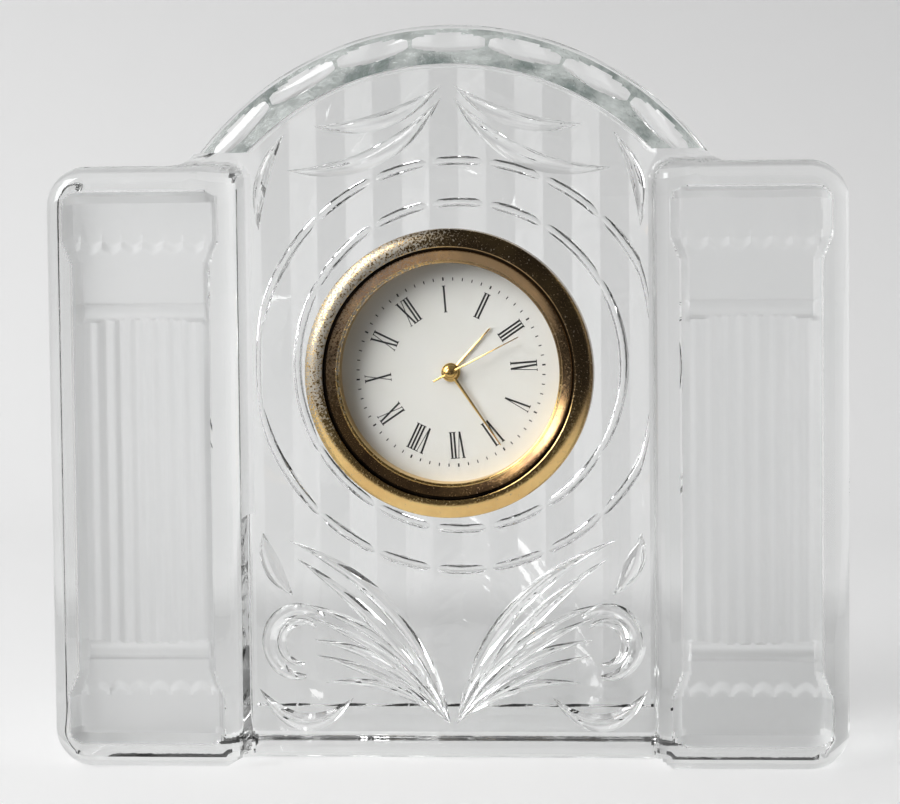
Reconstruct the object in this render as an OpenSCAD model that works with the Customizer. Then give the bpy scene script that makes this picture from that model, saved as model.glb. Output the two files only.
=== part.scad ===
/* [Crystal block] */
// Width over both pillars
block_w = 99.8; // [96:0.2:106]
// Depth from the fronts of the pillars to the ridges of the pleated back
block_d = 32; // [30:0.5:36]
// Height of the shoulders, which are the tops of the pillars
shoulder_h = 75.6; // [73:0.1:79]
// Height of the top of the arch
arch_top = 93.1; // [90:0.1:95]
// Radius of the arch
arch_r = 40.6; // [38:0.1:42]
// Radius of the concave blend between the arch and each shoulder
blend_r = 3.5; // [1:0.5:6]
// Radius of the four outer corners, seen from the front
corner_r = 5; // [3:0.5:6.5]
// Rounding of the front edges of the pillars
edge_r = 2.2; // [1:0.1:2.6]
// Width of each pillar
pillar_w = 24; // [23:0.2:26]
// How far the pillars stand in front of the middle panel
pillar_proud = 8.5; // [6:0.5:10]

/* [Scalloped rim of the arch] */
// Width of the bevel along the arch, seen from the front
bevel_w = 5; // [3:0.25:6]
// Depth of the bevel, front to back
bevel_d = 4; // [2:0.25:6]
// Angle that each scallop takes along the arch
scallop_step = 14.6; // [13:0.1:15]
// Radius of the wheel that hollows each scallop
scallop_r = 40; // [25:1:80]

/* [Pleated back] */
// Pitch of the pleats
pleat_pitch = 7.4; // [6:0.1:9]
// Depth of the pleats
pleat_depth = 1.3; // [0.6:0.1:1.8]
// Radius of the inner ring cut round the clock
inner_ring_r = 21.4; // [20:0.1:23]
// Radius of the outer ring cut round the clock
outer_ring_r = 26.8; // [25:0.1:29]
// Width of the cut of each ring, at the ridges
ring_cut_w = 2; // [1:0.1:2.6]
// Depth of the cut of each ring, from the ridges
ring_cut_d = 1; // [0.5:0.1:2.4]

/* [Column recesses] */
// Width of the shaft of the column
column_w = 17.6; // [16:0.1:18.4]
// Width of the capital and of the base block
capital_w = 20; // [19:0.1:21]
// Height of the capital and of the base block
capital_h = 6.5; // [5:0.1:8]
// Depth of the capital and of the base block
capital_depth = 2.4; // [1.5:0.1:3]
// Clear rim above and below the column
column_rim = 3; // [2.6:0.1:4]
// Height of the flare between block and neck
flare_h = 2.2; // [1.5:0.1:3]
// Height of the neck under the capital
neck_h = 5.2; // [4:0.1:6]
// Height of the neck over the base
base_neck_h = 1.8; // [1:0.1:3]
// Depth of the two necks
neck_depth = 2; // [1.5:0.1:2.4]
// Radius of the round ring above and below the shaft
torus_r = 1.3; // [1:0.05:1.5]
// Number of flutes across the shaft
flute_count = 9; // [7:1:12]
// Depth of the flutes at the edges of the shaft
flute_edge_depth = 1.7; // [1.2:0.1:2]
// Depth of the flutes in the middle of the shaft
flute_mid_depth = 3; // [2.2:0.1:3.6]

/* [Leaf relief] */
// How far the leaves stand in front of the panel
leaf_rise = 0.7; // [0.4:0.1:1.2]
// Height of the point where the lower leaves meet
leaf_root_h = 4.5; // [3.5:0.1:6]
// How far below the top of the arch the upper swags meet
swag_drop = 7.7; // [6.7:0.1:9.7]

/* [Clock insert] */
// Height of the middle of the clock
clock_h = 49.2; // [47:0.1:51]
// How far the clock is turned in its hole, anticlockwise from the front
dial_turn = 34.3; // [-45:0.1:45]
// Inner radius of the cup that holds the clock
cup_in_r = 15.5; // [15.3:0.05:15.7]
// Clearance of the cup in the hole in the crystal
cup_gap = 0.5; // [0.4:0.05:0.6]
// Depth of the hole behind the back cover
hole_room = 4.4; // [3:0.1:6]
// How far the bezel reaches past the edge of the hole
bezel_over = 0.65; // [0.5:0.05:1.4]
// Height of the bezel in front of the crystal
bezel_h = 3.2; // [2.9:0.1:4]
// Width of the half-round ring of the bezel
bezel_ring_w = 2.3; // [1.8:0.1:2.6]
// How far the opening in the bezel lies inside the cup
sight_inset = 1.6; // [1.4:0.05:2]
// Height of the cone inside the bezel above its lip
bezel_cone_h = 0.7; // [0.3:0.05:1]
// Thickness of the lip that holds the lens
lip_t = 0.25; // [0.2:0.05:0.4]
// How far the lens reaches under the lip
lens_lap = 0.6; // [0.4:0.05:0.7]
// Thickness of the lens
lens_t = 1; // [0.8:0.05:1.1]
// Width of the gasket round the lens
gasket_w = 0.4; // [0.3:0.05:0.5]
// Height of the underside of the lens in front of the crystal
lens_seat = 0.5; // [0.4:0.05:0.7]
// Distance of the dial behind the face of the crystal
dial_drop = 1.5; // [1.4:0.05:1.8]
// Thickness of the dial
dial_t = 0.4; // [0.3:0.05:0.5]
// Clearance of the dial in the cup
dial_gap = 0.5; // [0.4:0.05:0.9]
// Radius of the hole in the middle of the dial
dial_hole_r = 0.9; // [0.85:0.05:1.1]

/* [Case of the insert] */
// Wall of the cup in front of the grip ring
cup_wall = 1.6; // [1.5:0.05:1.7]
// Wall of the cup under the grip ring
waist_wall = 1.1; // [0.9:0.05:1.2]
// How far the flange at the mouth stands out past the wall of the cup
flange_w = 0.3; // [0.2:0.05:0.35]
// Thickness of the flange at the mouth of the cup
flange_t = 0.8; // [0.6:0.05:0.9]
// Wall of the cup between the window for the crown and the grip ring
window_wall = 0.2; // [0.15:0.05:0.4]
// Length of the seat of the grip ring
grip_len = 3.8; // [3.5:0.1:4.1]
// Thickness of the back cover
cover_t = 1; // [0.8:0.05:1.1]
// Length of the spigot of the back cover
spigot_len = 1.5; // [1:0.1:1.7]
// Wall of the spigot of the back cover
spigot_wall = 1; // [0.7:0.05:1.3]
// Wall of the grip ring between its ribs
grip_wall = 0.45; // [0.35:0.05:0.5]
// Radius of the ribs of the grip ring
grip_rib_r = 0.4; // [0.3:0.05:0.5]
// Number of ribs on the grip ring
grip_ribs = 30; // [20:1:40]
// Running clearance of the ribs in the hole
hole_gap = 0.05; // [0.03:0.01:0.1]
// Depth of the ring that holds the movement
holder_depth = 4.3; // [4:0.1:5]

/* [Movement] */
// Width of the movement, three to nine
move_w = 15.3; // [15.1:0.1:15.8]
// Height of the movement, twelve to six
move_h = 17.8; // [17.6:0.1:18.4]
// Radius of the corners of the movement
move_corner_r = 3.5; // [3:0.1:3.8]
// Rim of the main plate
plate_rim = 0.5; // [0.4:0.05:0.55]
// Air between dial and main plate
dial_air = 0.1; // [0.05:0.01:0.15]
// Depth of the main plate's recess for the motion work
motion_depth = 0.6; // [0.58:0.01:0.7]
// Thickness of the main plate under the motion work
web_t = 0.5; // [0.4:0.05:0.6]
// Height of the space for the train
train_h = 1.4; // [1.4:0.05:1.6]
// Thickness of the train bridge
bridge_t = 0.55; // [0.45:0.05:0.7]
// Radius of the battery
battery_r = 3.4; // [3.2:0.05:3.4]
// Height of the battery
battery_h = 2.6; // [2.1:0.05:2.7]
// Radius of the coil
coil_r = 1.15; // [0.9:0.05:1.15]
// Length of the coil
coil_len = 4.65; // [4:0.05:4.7]
// Radius of the rotor magnet
magnet_r = 0.65; // [0.5:0.01:0.75]

/* [Stem and crown] */
// Clearance between the crown and the dial's level
crown_gap = 0.05; // [0.03:0.01:0.3]
// Length of the crown
crown_len = 1.8; // [1.4:0.05:1.85]
// Radius of the stem
stem_r = 0.3; // [0.25:0.01:0.33]
// How far the crown pulls out
crown_pull = 0.5; // [0.3:0.05:0.5]

/* [Hands] */
// Length of the hour hand
hour_len = 7.6; // [6:0.1:8.5]
// Length of the minute hand
minute_len = 11.2; // [10:0.1:12.5]
// Length of the second hand
second_len = 9.8; // [8:0.1:12]
// Length of the tail of the second hand
second_tail = 2.4; // [1.5:0.1:4]
// Thickness of the hour and minute hands
hand_t = 0.16; // [0.1:0.01:0.18]
// Width of the hour hand at its hub
hour_w = 0.75; // [0.5:0.05:1.2]
// Width of the minute hand at its hub
minute_w = 0.6; // [0.4:0.05:1]

/* [Fits] */
// Radial clearance of a running fit
run_gap = 0.03; // [0.02:0.01:0.05]
// Clearance of a piece that sits in another without turning
seat_gap = 0.05; // [0.03:0.01:0.08]

/* [Hidden] */
$fn = 64;

// The face of the middle panel, the middle of the arch and the scallops along it
panel_y = -block_d / 2 + pillar_proud;
arch_z = arch_top - arch_r;
scallop_count = 7;
pillar_x = block_w / 2 - pillar_w / 2;

// The blend beside the arch: its middle, and the height at which it meets the arch
blend_z = shoulder_h + blend_r;
blend_x = sqrt(pow(arch_r + blend_r, 2) - pow(blend_z - arch_z, 2));
blend_top = arch_z + (blend_z - arch_z) * arch_r / (arch_r + blend_r);

// Steps of the arcs that round corners, and a margin for cuts that run past a face
arc_steps = 8;
over = 1;

// Radii in the insert, from the inside of the cup inwards and outwards
dial_r = cup_in_r - dial_gap;
sight_r = cup_in_r - sight_inset;
lens_r = sight_r + lens_lap;
cup_r = cup_in_r + cup_wall;
cup_waist_r = cup_in_r + waist_wall;
flange_r = cup_r + flange_w;
hole_r = cup_r + cup_gap;
bezel_r = hole_r + bezel_over;

// Levels in the insert, measured forwards from the face of the panel
dial_top = -dial_drop;
plate_top = dial_top - dial_t - dial_air;
motion_floor = plate_top - motion_depth;
web_under = motion_floor - web_t;
bridge_top = web_under - train_h;
bridge_under = bridge_top - bridge_t;
stem_z = web_under - 0.05;
crown_r = dial_top - stem_z - crown_gap;
window_gap = 0.15;
cup_front_depth = crown_r + window_gap + window_wall - stem_z;
cup_depth = cup_front_depth + grip_len;
hole_depth = cup_depth + cover_t + hole_room;

// Levels of the wheels: top face of each, down from the underside of the web
end_gap = 0.03;
wheel_gap = 0.05;
press_gap = 0.01;
wheel_t = 0.15;
pinion_t = 0.35;
rotor_pinion_t = 0.3;
centre_down = 0.1;
third_pinion_down = 0.05;
seconds_pinion_down = 0.5;
third_down = 0.6;
seconds_down = 0.9;
idler_pinion_down = 0.85;
idler_down = 1.2;
rotor_pinion_down = 1.05;
stator_t = 0.4;
core_t = 0.5;
magnet_down = 0.05;
magnet_t = 0.32;

// Teeth. They give 60 to 1 from seconds to minutes and 12 to 1 from minutes to hours
addendum = 0.9;
dedendum = 1.1;
gear_gap = 0.14;
rotor_teeth = 8;
idler_teeth = 48;
idler_pinion_teeth = 8;
seconds_teeth = 40;
seconds_pinion_teeth = 8;
third_teeth = 60;
third_pinion_teeth = 8;
centre_teeth = 64;
cannon_teeth = 10;
minute_teeth = 30;
minute_pinion_teeth = 8;
hour_teeth = 32;
setting_teeth = 12;

// Arbors: distances between the meshing pairs and directions on the plate
third_dist = 2.65;
idler_dist = 2.6;
rotor_dist = 2.744;
minute_dist = 2.4;
motion_module = minute_dist * 2 / (cannon_teeth + minute_teeth);
setting_dist = motion_module * (minute_teeth + setting_teeth) / 2;
third_dir = 150;
idler_dir = -50;
rotor_dir = -35;
minute_dir = 21.3;
third_at = third_dist * [cos(third_dir), sin(third_dir)];
idler_at = idler_dist * [cos(idler_dir), sin(idler_dir)];
rotor_at = idler_at + rotor_dist * [cos(rotor_dir), sin(rotor_dir)];
minute_at = minute_dist * [cos(minute_dir), sin(minute_dir)];
setting_at = [minute_at.x + sqrt(pow(setting_dist, 2) - pow(minute_at.y, 2)), 0];
setting_dir = atan2(-minute_at.y, setting_at.x - minute_at.x);

// Arbors, tubes and the depths that their ends reach into the plates
arbor_r = 0.12;
seconds_arbor_r = 0.15;
pivot_r = 0.1;
pivot_in = 0.3;
centre_pipe_r = 0.32;
cannon_r = 0.45;
hour_pipe_r = 0.7;
post_r = 0.18;

// Layout of the fixed pieces on the plate
battery_gap = 0.1;
battery_in = plate_rim + battery_gap + battery_r;
battery_at = [-move_w / 2 + battery_in, -move_h / 2 + battery_in];
coil_gap = 0.15;
coil_y = -move_h / 2 + 2.05;
coil_x = 0.75;
core_x = [0, 6.4];
core_w = 0.9;
yoke_y = [-5.5, -4.7];
lug_w = 0.6;
eye_r = 1.5;
eye_stem_w = 2.6;
screw_at = [[6.2, -1.9], [5.6, 4], [-6.2, -0.4]];
screw_r = 0.4;
screw_head_r = 0.75;
screw_head_t = 0.3;
screw_post_r = 0.65;
screw_bite = 0.9;
slot_w = 0.2;
slot_d = 0.12;
bridge_y = [-4.7, 4.7];
board_x = [-5.2, 5.2];
board_y = [4.95, 8];
board_mid = (board_y[0] + board_y[1]) / 2;
board_t = 0.4;
board_posts = [0.6, 4.4];
board_post_r = 0.5;
chip_at = [1.5, 5.6];
chip_w = 1.8;
chip_t = 0.5;
can_x = -5;
can_len = 4.2;
strap_at = battery_at - [1.5, 2.8];
strap_w = 1.2;
strap_len = 7.2;
strap_t = 0.15;
lever_at = [6.65, 2.2];
lever_post_r = 0.3;
lever_t = 0.2;
lever_down = 0.8;
lever_arm_w = 0.4;
lever_eye_wall = 0.12;
lever_tip_r = 0.3;

// The keyless work along the stem
clutch_bite = 0.1;
clutch_x = setting_at.x + motion_module * (setting_teeth / 2 + addendum) - clutch_bite;
clutch_len = 0.7;
clutch_teeth_len = 0.15;
clutch_pocket_w = 2.2;
groove_w = 0.3;
collar_r = 0.5;
collar_w = 0.2;
crown_x = dial_r + window_gap;

// Hands: top of each pipe, measured forwards from the dial
hour_hand_up = 0.35;
minute_hand_up = 0.8;
second_hand_up = 1.3;
second_t = 0.12;
hour_hub_r = 1.15;
minute_hub_r = 0.95;
second_hub_r = 0.75;
hour_angle = 76.5;
minute_angle = 180;
second_angle = 97;

// Points along an arc about c, from angle a to angle b
function arc(c, r, a, b, n = arc_steps) =
    [for (i = [0:n]) c + r * [cos(a + (b - a) * i / n), sin(a + (b - a) * i / n)]];

// Outline of a toothed wheel: four points a tooth, one tooth centred on the first axis
function gear_outline(teeth, m) =
    [for (i = [0:teeth - 1], k = [0:3])
        let (
            half = [-0.3, -0.13, 0.13, 0.3][k],
            r = m * (teeth / 2 + (k == 0 || k == 3 ? -dedendum : addendum)),
            a = (i + half) * 360 / teeth)
        r * [cos(a), sin(a)]];

// Radius of the recess that a toothed wheel turns in
function recess_r(teeth, m) = m * (teeth / 2 + addendum) + gear_gap;

// Turn that puts wheel b in mesh with wheel a, which is turned by a_turn and lies at dir from b's side
function mesh_turn(a_turn, a_teeth, b_teeth, dir) =
    dir + 180 + 180 / b_teeth - (a_turn - dir) * a_teeth / b_teeth;

// Turns of the wheels at rest, each from the one before it
seconds_turn = 0;
third_turn = mesh_turn(seconds_turn, seconds_pinion_teeth, third_teeth, third_dir);
centre_turn = mesh_turn(third_turn, third_pinion_teeth, centre_teeth, third_dir + 180);
idler_turn = mesh_turn(seconds_turn, seconds_teeth, idler_pinion_teeth, idler_dir);
rotor_turn = mesh_turn(idler_turn, idler_teeth, rotor_teeth, rotor_dir);
cannon_turn = 0;
minute_turn = mesh_turn(cannon_turn, cannon_teeth, minute_teeth, minute_dir);
hour_turn = mesh_turn(minute_turn, minute_pinion_teeth, hour_teeth, minute_dir + 180);
setting_turn = mesh_turn(minute_turn, minute_teeth, setting_teeth, setting_dir);

// A rectangle with rounded corners, centred
module round_rect(w, h, r) {
    polygon(concat(
        arc([w / 2 - r, h / 2 - r], r, 0, 90),
        arc([-w / 2 + r, h / 2 - r], r, 90, 180),
        arc([-w / 2 + r, -h / 2 + r], r, 180, 270),
        arc([w / 2 - r, -h / 2 + r], r, 270, 360)));
}

// A disc between two levels
module disc(r, low, high) {
    translate([0, 0, low]) cylinder(r = r, h = high - low);
}

// A toothed wheel between two levels
module gear(teeth, m, low, high, turn) {
    translate([0, 0, low]) rotate([0, 0, turn])
        linear_extrude(high - low) polygon(gear_outline(teeth, m));
}

// Puts a piece of the clock, drawn with twelve up and its face towards +z, into the crystal
module insert() {
    translate([0, panel_y, clock_h]) rotate([90, 0, 0]) rotate([0, 0, dial_turn]) children();
}

// A piece that lies along the stem, drawn along z
module along_stem(x) {
    translate([x, 0, stem_z]) rotate([0, 90, 0]) children();
}

// The crystal block: one pressed piece of clear crystal

// Concave blend between the right-hand shoulder and the arch
module shoulder_blend() {
    turn = atan2(blend_z - arch_z, blend_x);
    polygon(concat(
        arc([blend_x, blend_z], blend_r, 270, 180 + turn),
        [[blend_x - blend_r * cos(turn), shoulder_h - over], [blend_x, shoulder_h - over]]));
}

// Outline from the front: pillars and base as one rounded rectangle, with the arch over it
module front_outline() {
    translate([0, shoulder_h / 2]) round_rect(block_w, shoulder_h, corner_r);
    translate([0, arch_z]) circle(r = arch_r, $fn = 180);
    shoulder_blend();
    mirror([1, 0]) shoulder_blend();
}

// Outline from above: two pillars in front of the panel, and pleats along the back
module plan_outline() {
    front = -block_d / 2;
    pleats = floor((block_w / 2 - edge_r) / (pleat_pitch / 2));
    valley = block_d / 2 - pleat_depth;
    right = concat(
        [[block_w / 2 - pillar_w, panel_y]],
        arc([block_w / 2 - pillar_w + edge_r, front + edge_r], edge_r, 180, 270),
        arc([block_w / 2 - edge_r, front + edge_r], edge_r, 270, 360),
        arc([block_w / 2 - edge_r, valley - edge_r], edge_r, 0, 80));
    back = [for (k = [pleats:-1:-pleats])
        [k * pleat_pitch / 2, k % 2 == 0 ? block_d / 2 : valley]];
    left = [for (i = [len(right) - 1:-1:0]) [-right[i].x, right[i].y]];
    polygon(concat(right, back, left));
}

// Outline from the side: the fronts of the pillars rounded above and below
module side_outline() {
    front = -block_d / 2;
    polygon(concat(
        [[block_d, -over], [block_d, arch_top + over], [panel_y, arch_top + over], [panel_y, shoulder_h]],
        arc([front + edge_r, shoulder_h - edge_r], edge_r, 90, 180),
        arc([front + edge_r, edge_r], edge_r, 180, 270),
        [[front + edge_r, -over]]));
}

module block_body() {
    intersection() {
        rotate([90, 0, 0]) linear_extrude(block_d + 2 * over, center = true) front_outline();
        translate([0, 0, -over]) linear_extrude(arch_top + 2 * over) plan_outline();
        rotate([90, 0, 90]) linear_extrude(block_w + 2 * over, center = true) side_outline();
    }
}

// The bevel along the arch, hollowed by a wheel into one scallop after another, down to the blends
module arch_scallops() {
    slope = atan2(bevel_w, bevel_d);
    foot = blend_top + 0.2;
    intersection() {
        translate([-block_w / 2, panel_y - over, foot]) cube([block_w, block_d, arch_r]);
        for (k = [0:scallop_count - 1])
            translate([0, panel_y, arch_z])
                rotate([0, (k - (scallop_count - 1) / 2) * scallop_step, 0])
                    translate([0, 0, arch_r - bevel_w])
                        rotate([slope, 0, 0]) translate([0, 0, scallop_r]) rotate([90, 0, 0])
                            cylinder(r = scallop_r, h = block_d, center = true, $fn = 180);
    }
}

// A ring cut with sloping walls into the back, round the axis of the clock
module ring_cut(r) {
    translate([0, block_d / 2, clock_h]) rotate([90, 0, 0]) rotate_extrude($fn = 180)
        polygon([[r - ring_cut_w, -ring_cut_d], [r + ring_cut_w, -ring_cut_d], [r, ring_cut_d]]);
}

// A box sunk into the front of a pillar, between two heights
module sunk_box(w, low, high, depth) {
    translate([-w / 2, -over, low]) cube([w, depth + over, high - low]);
}

// A round bar sunk across the front of a pillar
module sunk_torus(z) {
    translate([-column_w / 2, neck_depth - torus_r / 2, z])
        rotate([0, 90, 0]) cylinder(r = torus_r, h = column_w);
}

// A flare that narrows from the block to the neck, drawn upwards from the block
module sunk_flare() {
    translate([0, neck_depth, 0]) rotate([90, 0, 0]) linear_extrude(neck_depth + over)
        polygon([[-capital_w / 2, 0], [capital_w / 2, 0],
            [column_w / 2, flare_h], [-column_w / 2, flare_h]]);
}

// The fluted shaft: round grooves side by side, deeper towards the middle
module sunk_shaft(low, high) {
    flute_r = column_w / flute_count / 2;
    sunk_box(column_w, low, high, flute_edge_depth - flute_r / 2);
    for (i = [0:flute_count - 1]) {
        across = (i + 0.5) / flute_count * 2 - 1;
        depth = flute_edge_depth + (flute_mid_depth - flute_edge_depth) * (1 - across * across);
        translate([across * column_w / 2, depth - flute_r, low]) cylinder(r = flute_r, h = high - low);
    }
}

// The column that is sunk into the front of a pillar, frosted all over
module column_recess(side) {
    low = column_rim;
    high = shoulder_h - column_rim;
    base_top = low + capital_h + flare_h + base_neck_h;
    neck_bottom = high - capital_h - flare_h - neck_h;
    translate([side * pillar_x, -block_d / 2, 0]) {
        sunk_box(capital_w, low, low + capital_h, capital_depth);
        translate([0, 0, low + capital_h]) sunk_flare();
        sunk_box(column_w, low + capital_h + flare_h, base_top + torus_r, neck_depth);
        sunk_torus(base_top + torus_r);
        sunk_shaft(base_top + torus_r, neck_bottom - torus_r);
        sunk_torus(neck_bottom - torus_r);
        sunk_box(column_w, neck_bottom - torus_r, neck_bottom + neck_h, neck_depth);
        translate([0, 0, high - capital_h]) mirror([0, 0, 1]) sunk_flare();
        sunk_box(capital_w, high - capital_h, high, capital_depth);
    }
}

// A leaf between two tips, bounded by two arcs that bulge to the left of the line from a to b
module leaf(a, b, outer_bulge, inner_bulge) {
    chord = b - a;
    left = [-chord.y, chord.x] / norm(chord);
    steps = 10;
    outer = [for (i = [0:steps]) a + chord * i / steps
        + left * outer_bulge * 4 * i / steps * (1 - i / steps)];
    inner = [for (i = [steps - 1:-1:1]) a + chord * i / steps
        + left * inner_bulge * 4 * i / steps * (1 - i / steps)];
    polygon(concat(outer, inner));
}

// The curl in which the lower scroll ends
module scroll_curl(at, r, w) {
    from = 30;
    to = 265;
    steps = 2 * arc_steps;
    polygon(concat(arc(at, r, from, to, steps), arc(at + [0, -w / 4], r - w, to, from, steps)));
}

// The leaves of one side, as flat outlines on the panel
module leaves_of_one_side() {
    root = [-0.4, leaf_root_h];
    swag = [-0.8, arch_top - swag_drop];
    leaf([-18.8, 26.8], root, 4.2, 2.2);
    leaf([-18.6, 20.6], root, 3.6, 1.4);
    scroll_curl([-18.7, 15.6], 5, 1.8);
    leaf([-16.8, 13.5], root, 2.4, 0.6);
    leaf([-12, 8.4], [-23.7, 9.1], 4.4, 2.6);
    leaf([-21.3, 21.7], [-23.3, 29.2], 1.6, 0.4);
    leaf(swag + [-16.2, -5], swag, -2.6, -1);
    leaf(swag + [-19.7, -10.5], swag - [0, 1.5], -3.8, -2.2);
    leaf(swag + [-24.2, -18], swag + [-21.2, -6.5], 1.9, 0.5);
}

module leaf_relief() {
    sunk = 0.5;
    translate([0, panel_y + sunk, 0]) rotate([90, 0, 0]) linear_extrude(sunk + leaf_rise) {
        leaves_of_one_side();
        mirror([1, 0]) leaves_of_one_side();
    }
}

module crystal_block() {
    color("aliceblue") {
        difference() {
            block_body();
            arch_scallops();
            ring_cut(inner_ring_r);
            ring_cut(outer_ring_r);
            for (side = [-1, 1]) column_recess(side);
            insert() disc(hole_r, -hole_depth, block_d);
        }
        leaf_relief();
    }
}

// The case of the insert

// Ribbed plastic ring that grips the hole
module grip_ring() {
    tip_r = hole_r - hole_gap;
    low = -cup_depth + seat_gap;
    high = -cup_front_depth - seat_gap;
    color("gainsboro") insert() difference() {
        union() {
            disc(cup_waist_r + run_gap + grip_wall, low, high);
            for (i = [0:grip_ribs - 1])
                rotate([0, 0, i * 360 / grip_ribs]) translate([tip_r - grip_rib_r, 0, 0])
                    disc(grip_rib_r, low, high);
        }
        disc(cup_waist_r + run_gap, low - over, high + over);
    }
}

// The window in the wall of the cup that the crown lies in
module crown_window() {
    along_stem(crown_x - 0.25) cylinder(r = crown_r + window_gap, h = hole_r);
}

module case_cup() {
    color("ivory") insert() difference() {
        rotate_extrude($fn = 120) polygon([
            [cup_in_r, -cup_depth], [cup_waist_r, -cup_depth], [cup_waist_r, -cup_front_depth],
            [cup_r, -cup_front_depth], [cup_r, 0], [flange_r, 0], [flange_r, flange_t],
            [cup_in_r, flange_t]]);
        crown_window();
    }
}

// Gold-plated bezel: half-round ring, groove, cone and the lip over the lens
module bezel() {
    ring_r = bezel_ring_w / 2;
    lens_top = lens_seat + lens_t;
    lip_top = lens_top + lip_t;
    groove_r = bezel_r - bezel_ring_w;
    groove_w = 0.1;
    cone_rim_w = 0.15;
    lip_w = 0.3;
    color("goldenrod") insert() rotate_extrude($fn = 120) polygon(concat(
        [[flange_r + seat_gap, 0]],
        [[bezel_r, 0]],
        arc([bezel_r - ring_r, bezel_h - ring_r], ring_r, 0, 180, 2 * arc_steps),
        [[groove_r - groove_w, bezel_h - ring_r],
            [groove_r - groove_w - cone_rim_w, lip_top + bezel_cone_h],
            [sight_r + lip_w, lip_top], [sight_r, lip_top], [sight_r, lens_top],
            [lens_r + gasket_w + seat_gap, lens_top], [lens_r + gasket_w + seat_gap, flange_t],
            [flange_r + seat_gap, flange_t]]));
}

module lens() {
    color("white", 0.3) insert() disc(lens_r, lens_seat, lens_seat + lens_t);
}

module lens_gasket() {
    color("whitesmoke") insert() difference() {
        disc(lens_r + gasket_w, lens_seat, lens_seat + lens_t);
        disc(lens_r + press_gap, lens_seat - over, lens_seat + lens_t + over);
    }
}

// Gold ring between lens and dial
module reflector_ring() {
    out_r = cup_in_r - seat_gap;
    reflector_lean = 0.2;
    color("gold") insert() rotate_extrude($fn = 120) polygon([
        [sight_r, dial_top], [out_r, dial_top], [out_r, lens_seat], [sight_r + reflector_lean, lens_seat]]);
}

module dial() {
    color("ivory") insert() difference() {
        disc(dial_r, dial_top - dial_t, dial_top);
        disc(dial_hole_r, dial_top - dial_t - over, dial_top + over);
    }
}

// Cover that snaps into the back of the cup, with a notch to prise it by
module back_cover() {
    low = -cup_depth - cover_t;
    spigot_r = cup_in_r - run_gap;
    notch_w = 3;
    notch_d = 1.3;
    color("silver") insert() difference() {
        union() {
            disc(cup_r, low, -cup_depth);
            disc(spigot_r, -cup_depth, -cup_depth + spigot_len);
        }
        disc(spigot_r - spigot_wall, -cup_depth, over);
        translate([-notch_w / 2, -cup_r - over, low - over])
            cube([notch_w, notch_d + over, cover_t / 2 + over]);
    }
}

// Plastic ring that holds the movement in the cup and carries the dial
module movement_holder() {
    high = dial_top - dial_t;
    low = high - holder_depth;
    color("white") insert() difference() {
        disc(cup_in_r - seat_gap, low, high);
        translate([0, 0, low - over]) linear_extrude(high - low + 2 * over)
            round_rect(move_w + 2 * seat_gap, move_h + 2 * seat_gap, move_corner_r);
        along_stem(move_w / 2 - over) cylinder(r = stem_r + run_gap, h = cup_in_r);
        crown_window();
    }
}

// The movement

module move_outline(inset) {
    round_rect(move_w - 2 * inset, move_h - 2 * inset, move_corner_r - inset);
}

// Main plate: a tray, open at the back for the train and sunk in front for the motion work
module main_plate() {
    cavity_low = bridge_top - over;
    pocket_roof = 0.3;
    board_gap = 0.1;
    color("whitesmoke") insert() difference() {
        union() {
            difference() {
                translate([0, 0, bridge_top]) linear_extrude(plate_top - bridge_top) move_outline(0);
                translate([0, 0, cavity_low])
                    linear_extrude(web_under - cavity_low) move_outline(plate_rim);
                disc(recess_r(hour_teeth, motion_module), motion_floor, over);
                translate(minute_at) disc(recess_r(minute_teeth, motion_module), motion_floor, over);
                translate(setting_at) disc(recess_r(setting_teeth, motion_module), motion_floor, over);
            }
            for (at = screw_at) translate(at) disc(screw_post_r, bridge_top, motion_floor);
            translate(lever_at)
                disc(lever_post_r, web_under - lever_down - lever_t - board_gap, motion_floor);
            for (x = board_posts)
                translate([x, board_mid, 0]) disc(board_post_r, bridge_top + board_t, motion_floor);
            for (at = [minute_at, setting_at])
                translate(at) disc(post_r, motion_floor - board_gap, plate_top - end_gap);
            pilot_lug();
        }
        for (at = screw_at)
            translate(at) disc(screw_r + end_gap, bridge_top - over, bridge_top + screw_bite + end_gap);
        for (at = [third_at, idler_at, rotor_at])
            translate(at) disc(pivot_r + run_gap, web_under - over, plate_top + over);
        disc(cannon_r + run_gap, web_under - over, over);
        translate(battery_at) disc(battery_r + battery_gap, bridge_top - over, plate_top - pocket_roof);
        translate([coil_x - coil_gap, coil_y - coil_r - coil_gap, bridge_top])
            cube([coil_len + 2 * coil_gap, 2 * (coil_r + coil_gap), motion_floor - bridge_top]);
        translate([clutch_x - clutch_bite, -clutch_pocket_w / 2, bridge_top - over])
            cube([move_w, clutch_pocket_w, plate_top - bridge_top + 2 * over]);
        along_stem(0.5 * clutch_x) cylinder(r = stem_r / 2 + run_gap, h = clutch_x);
    }
}

// Lug of the main plate that the pilot of the stem turns in
module pilot_lug() {
    wide = 0.9;
    high = 0.5;
    translate([setting_at.x - wide / 3, -high, stem_z - high])
        cube([wide, 2 * high, motion_floor - stem_z + high]);
}

// Bridge over the train, open over the battery, the coil and the circuit board
module train_bridge() {
    color("lightgray") insert() difference() {
        translate([0, 0, bridge_under]) linear_extrude(bridge_t) intersection() {
            move_outline(0);
            translate([-move_w / 2, bridge_y[0]]) square([move_w, bridge_y[1] - bridge_y[0]]);
        }
        translate(battery_at) disc(battery_r + 2 * battery_gap, bridge_under - over, bridge_top + over);
        for (at = screw_at)
            translate(at) disc(screw_r + seat_gap, bridge_under - over, bridge_top + over);
        for (at = [[0, 0], third_at, idler_at, rotor_at])
            translate(at) disc(pivot_r + run_gap, bridge_under - over, bridge_top + over);
    }
}

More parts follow.
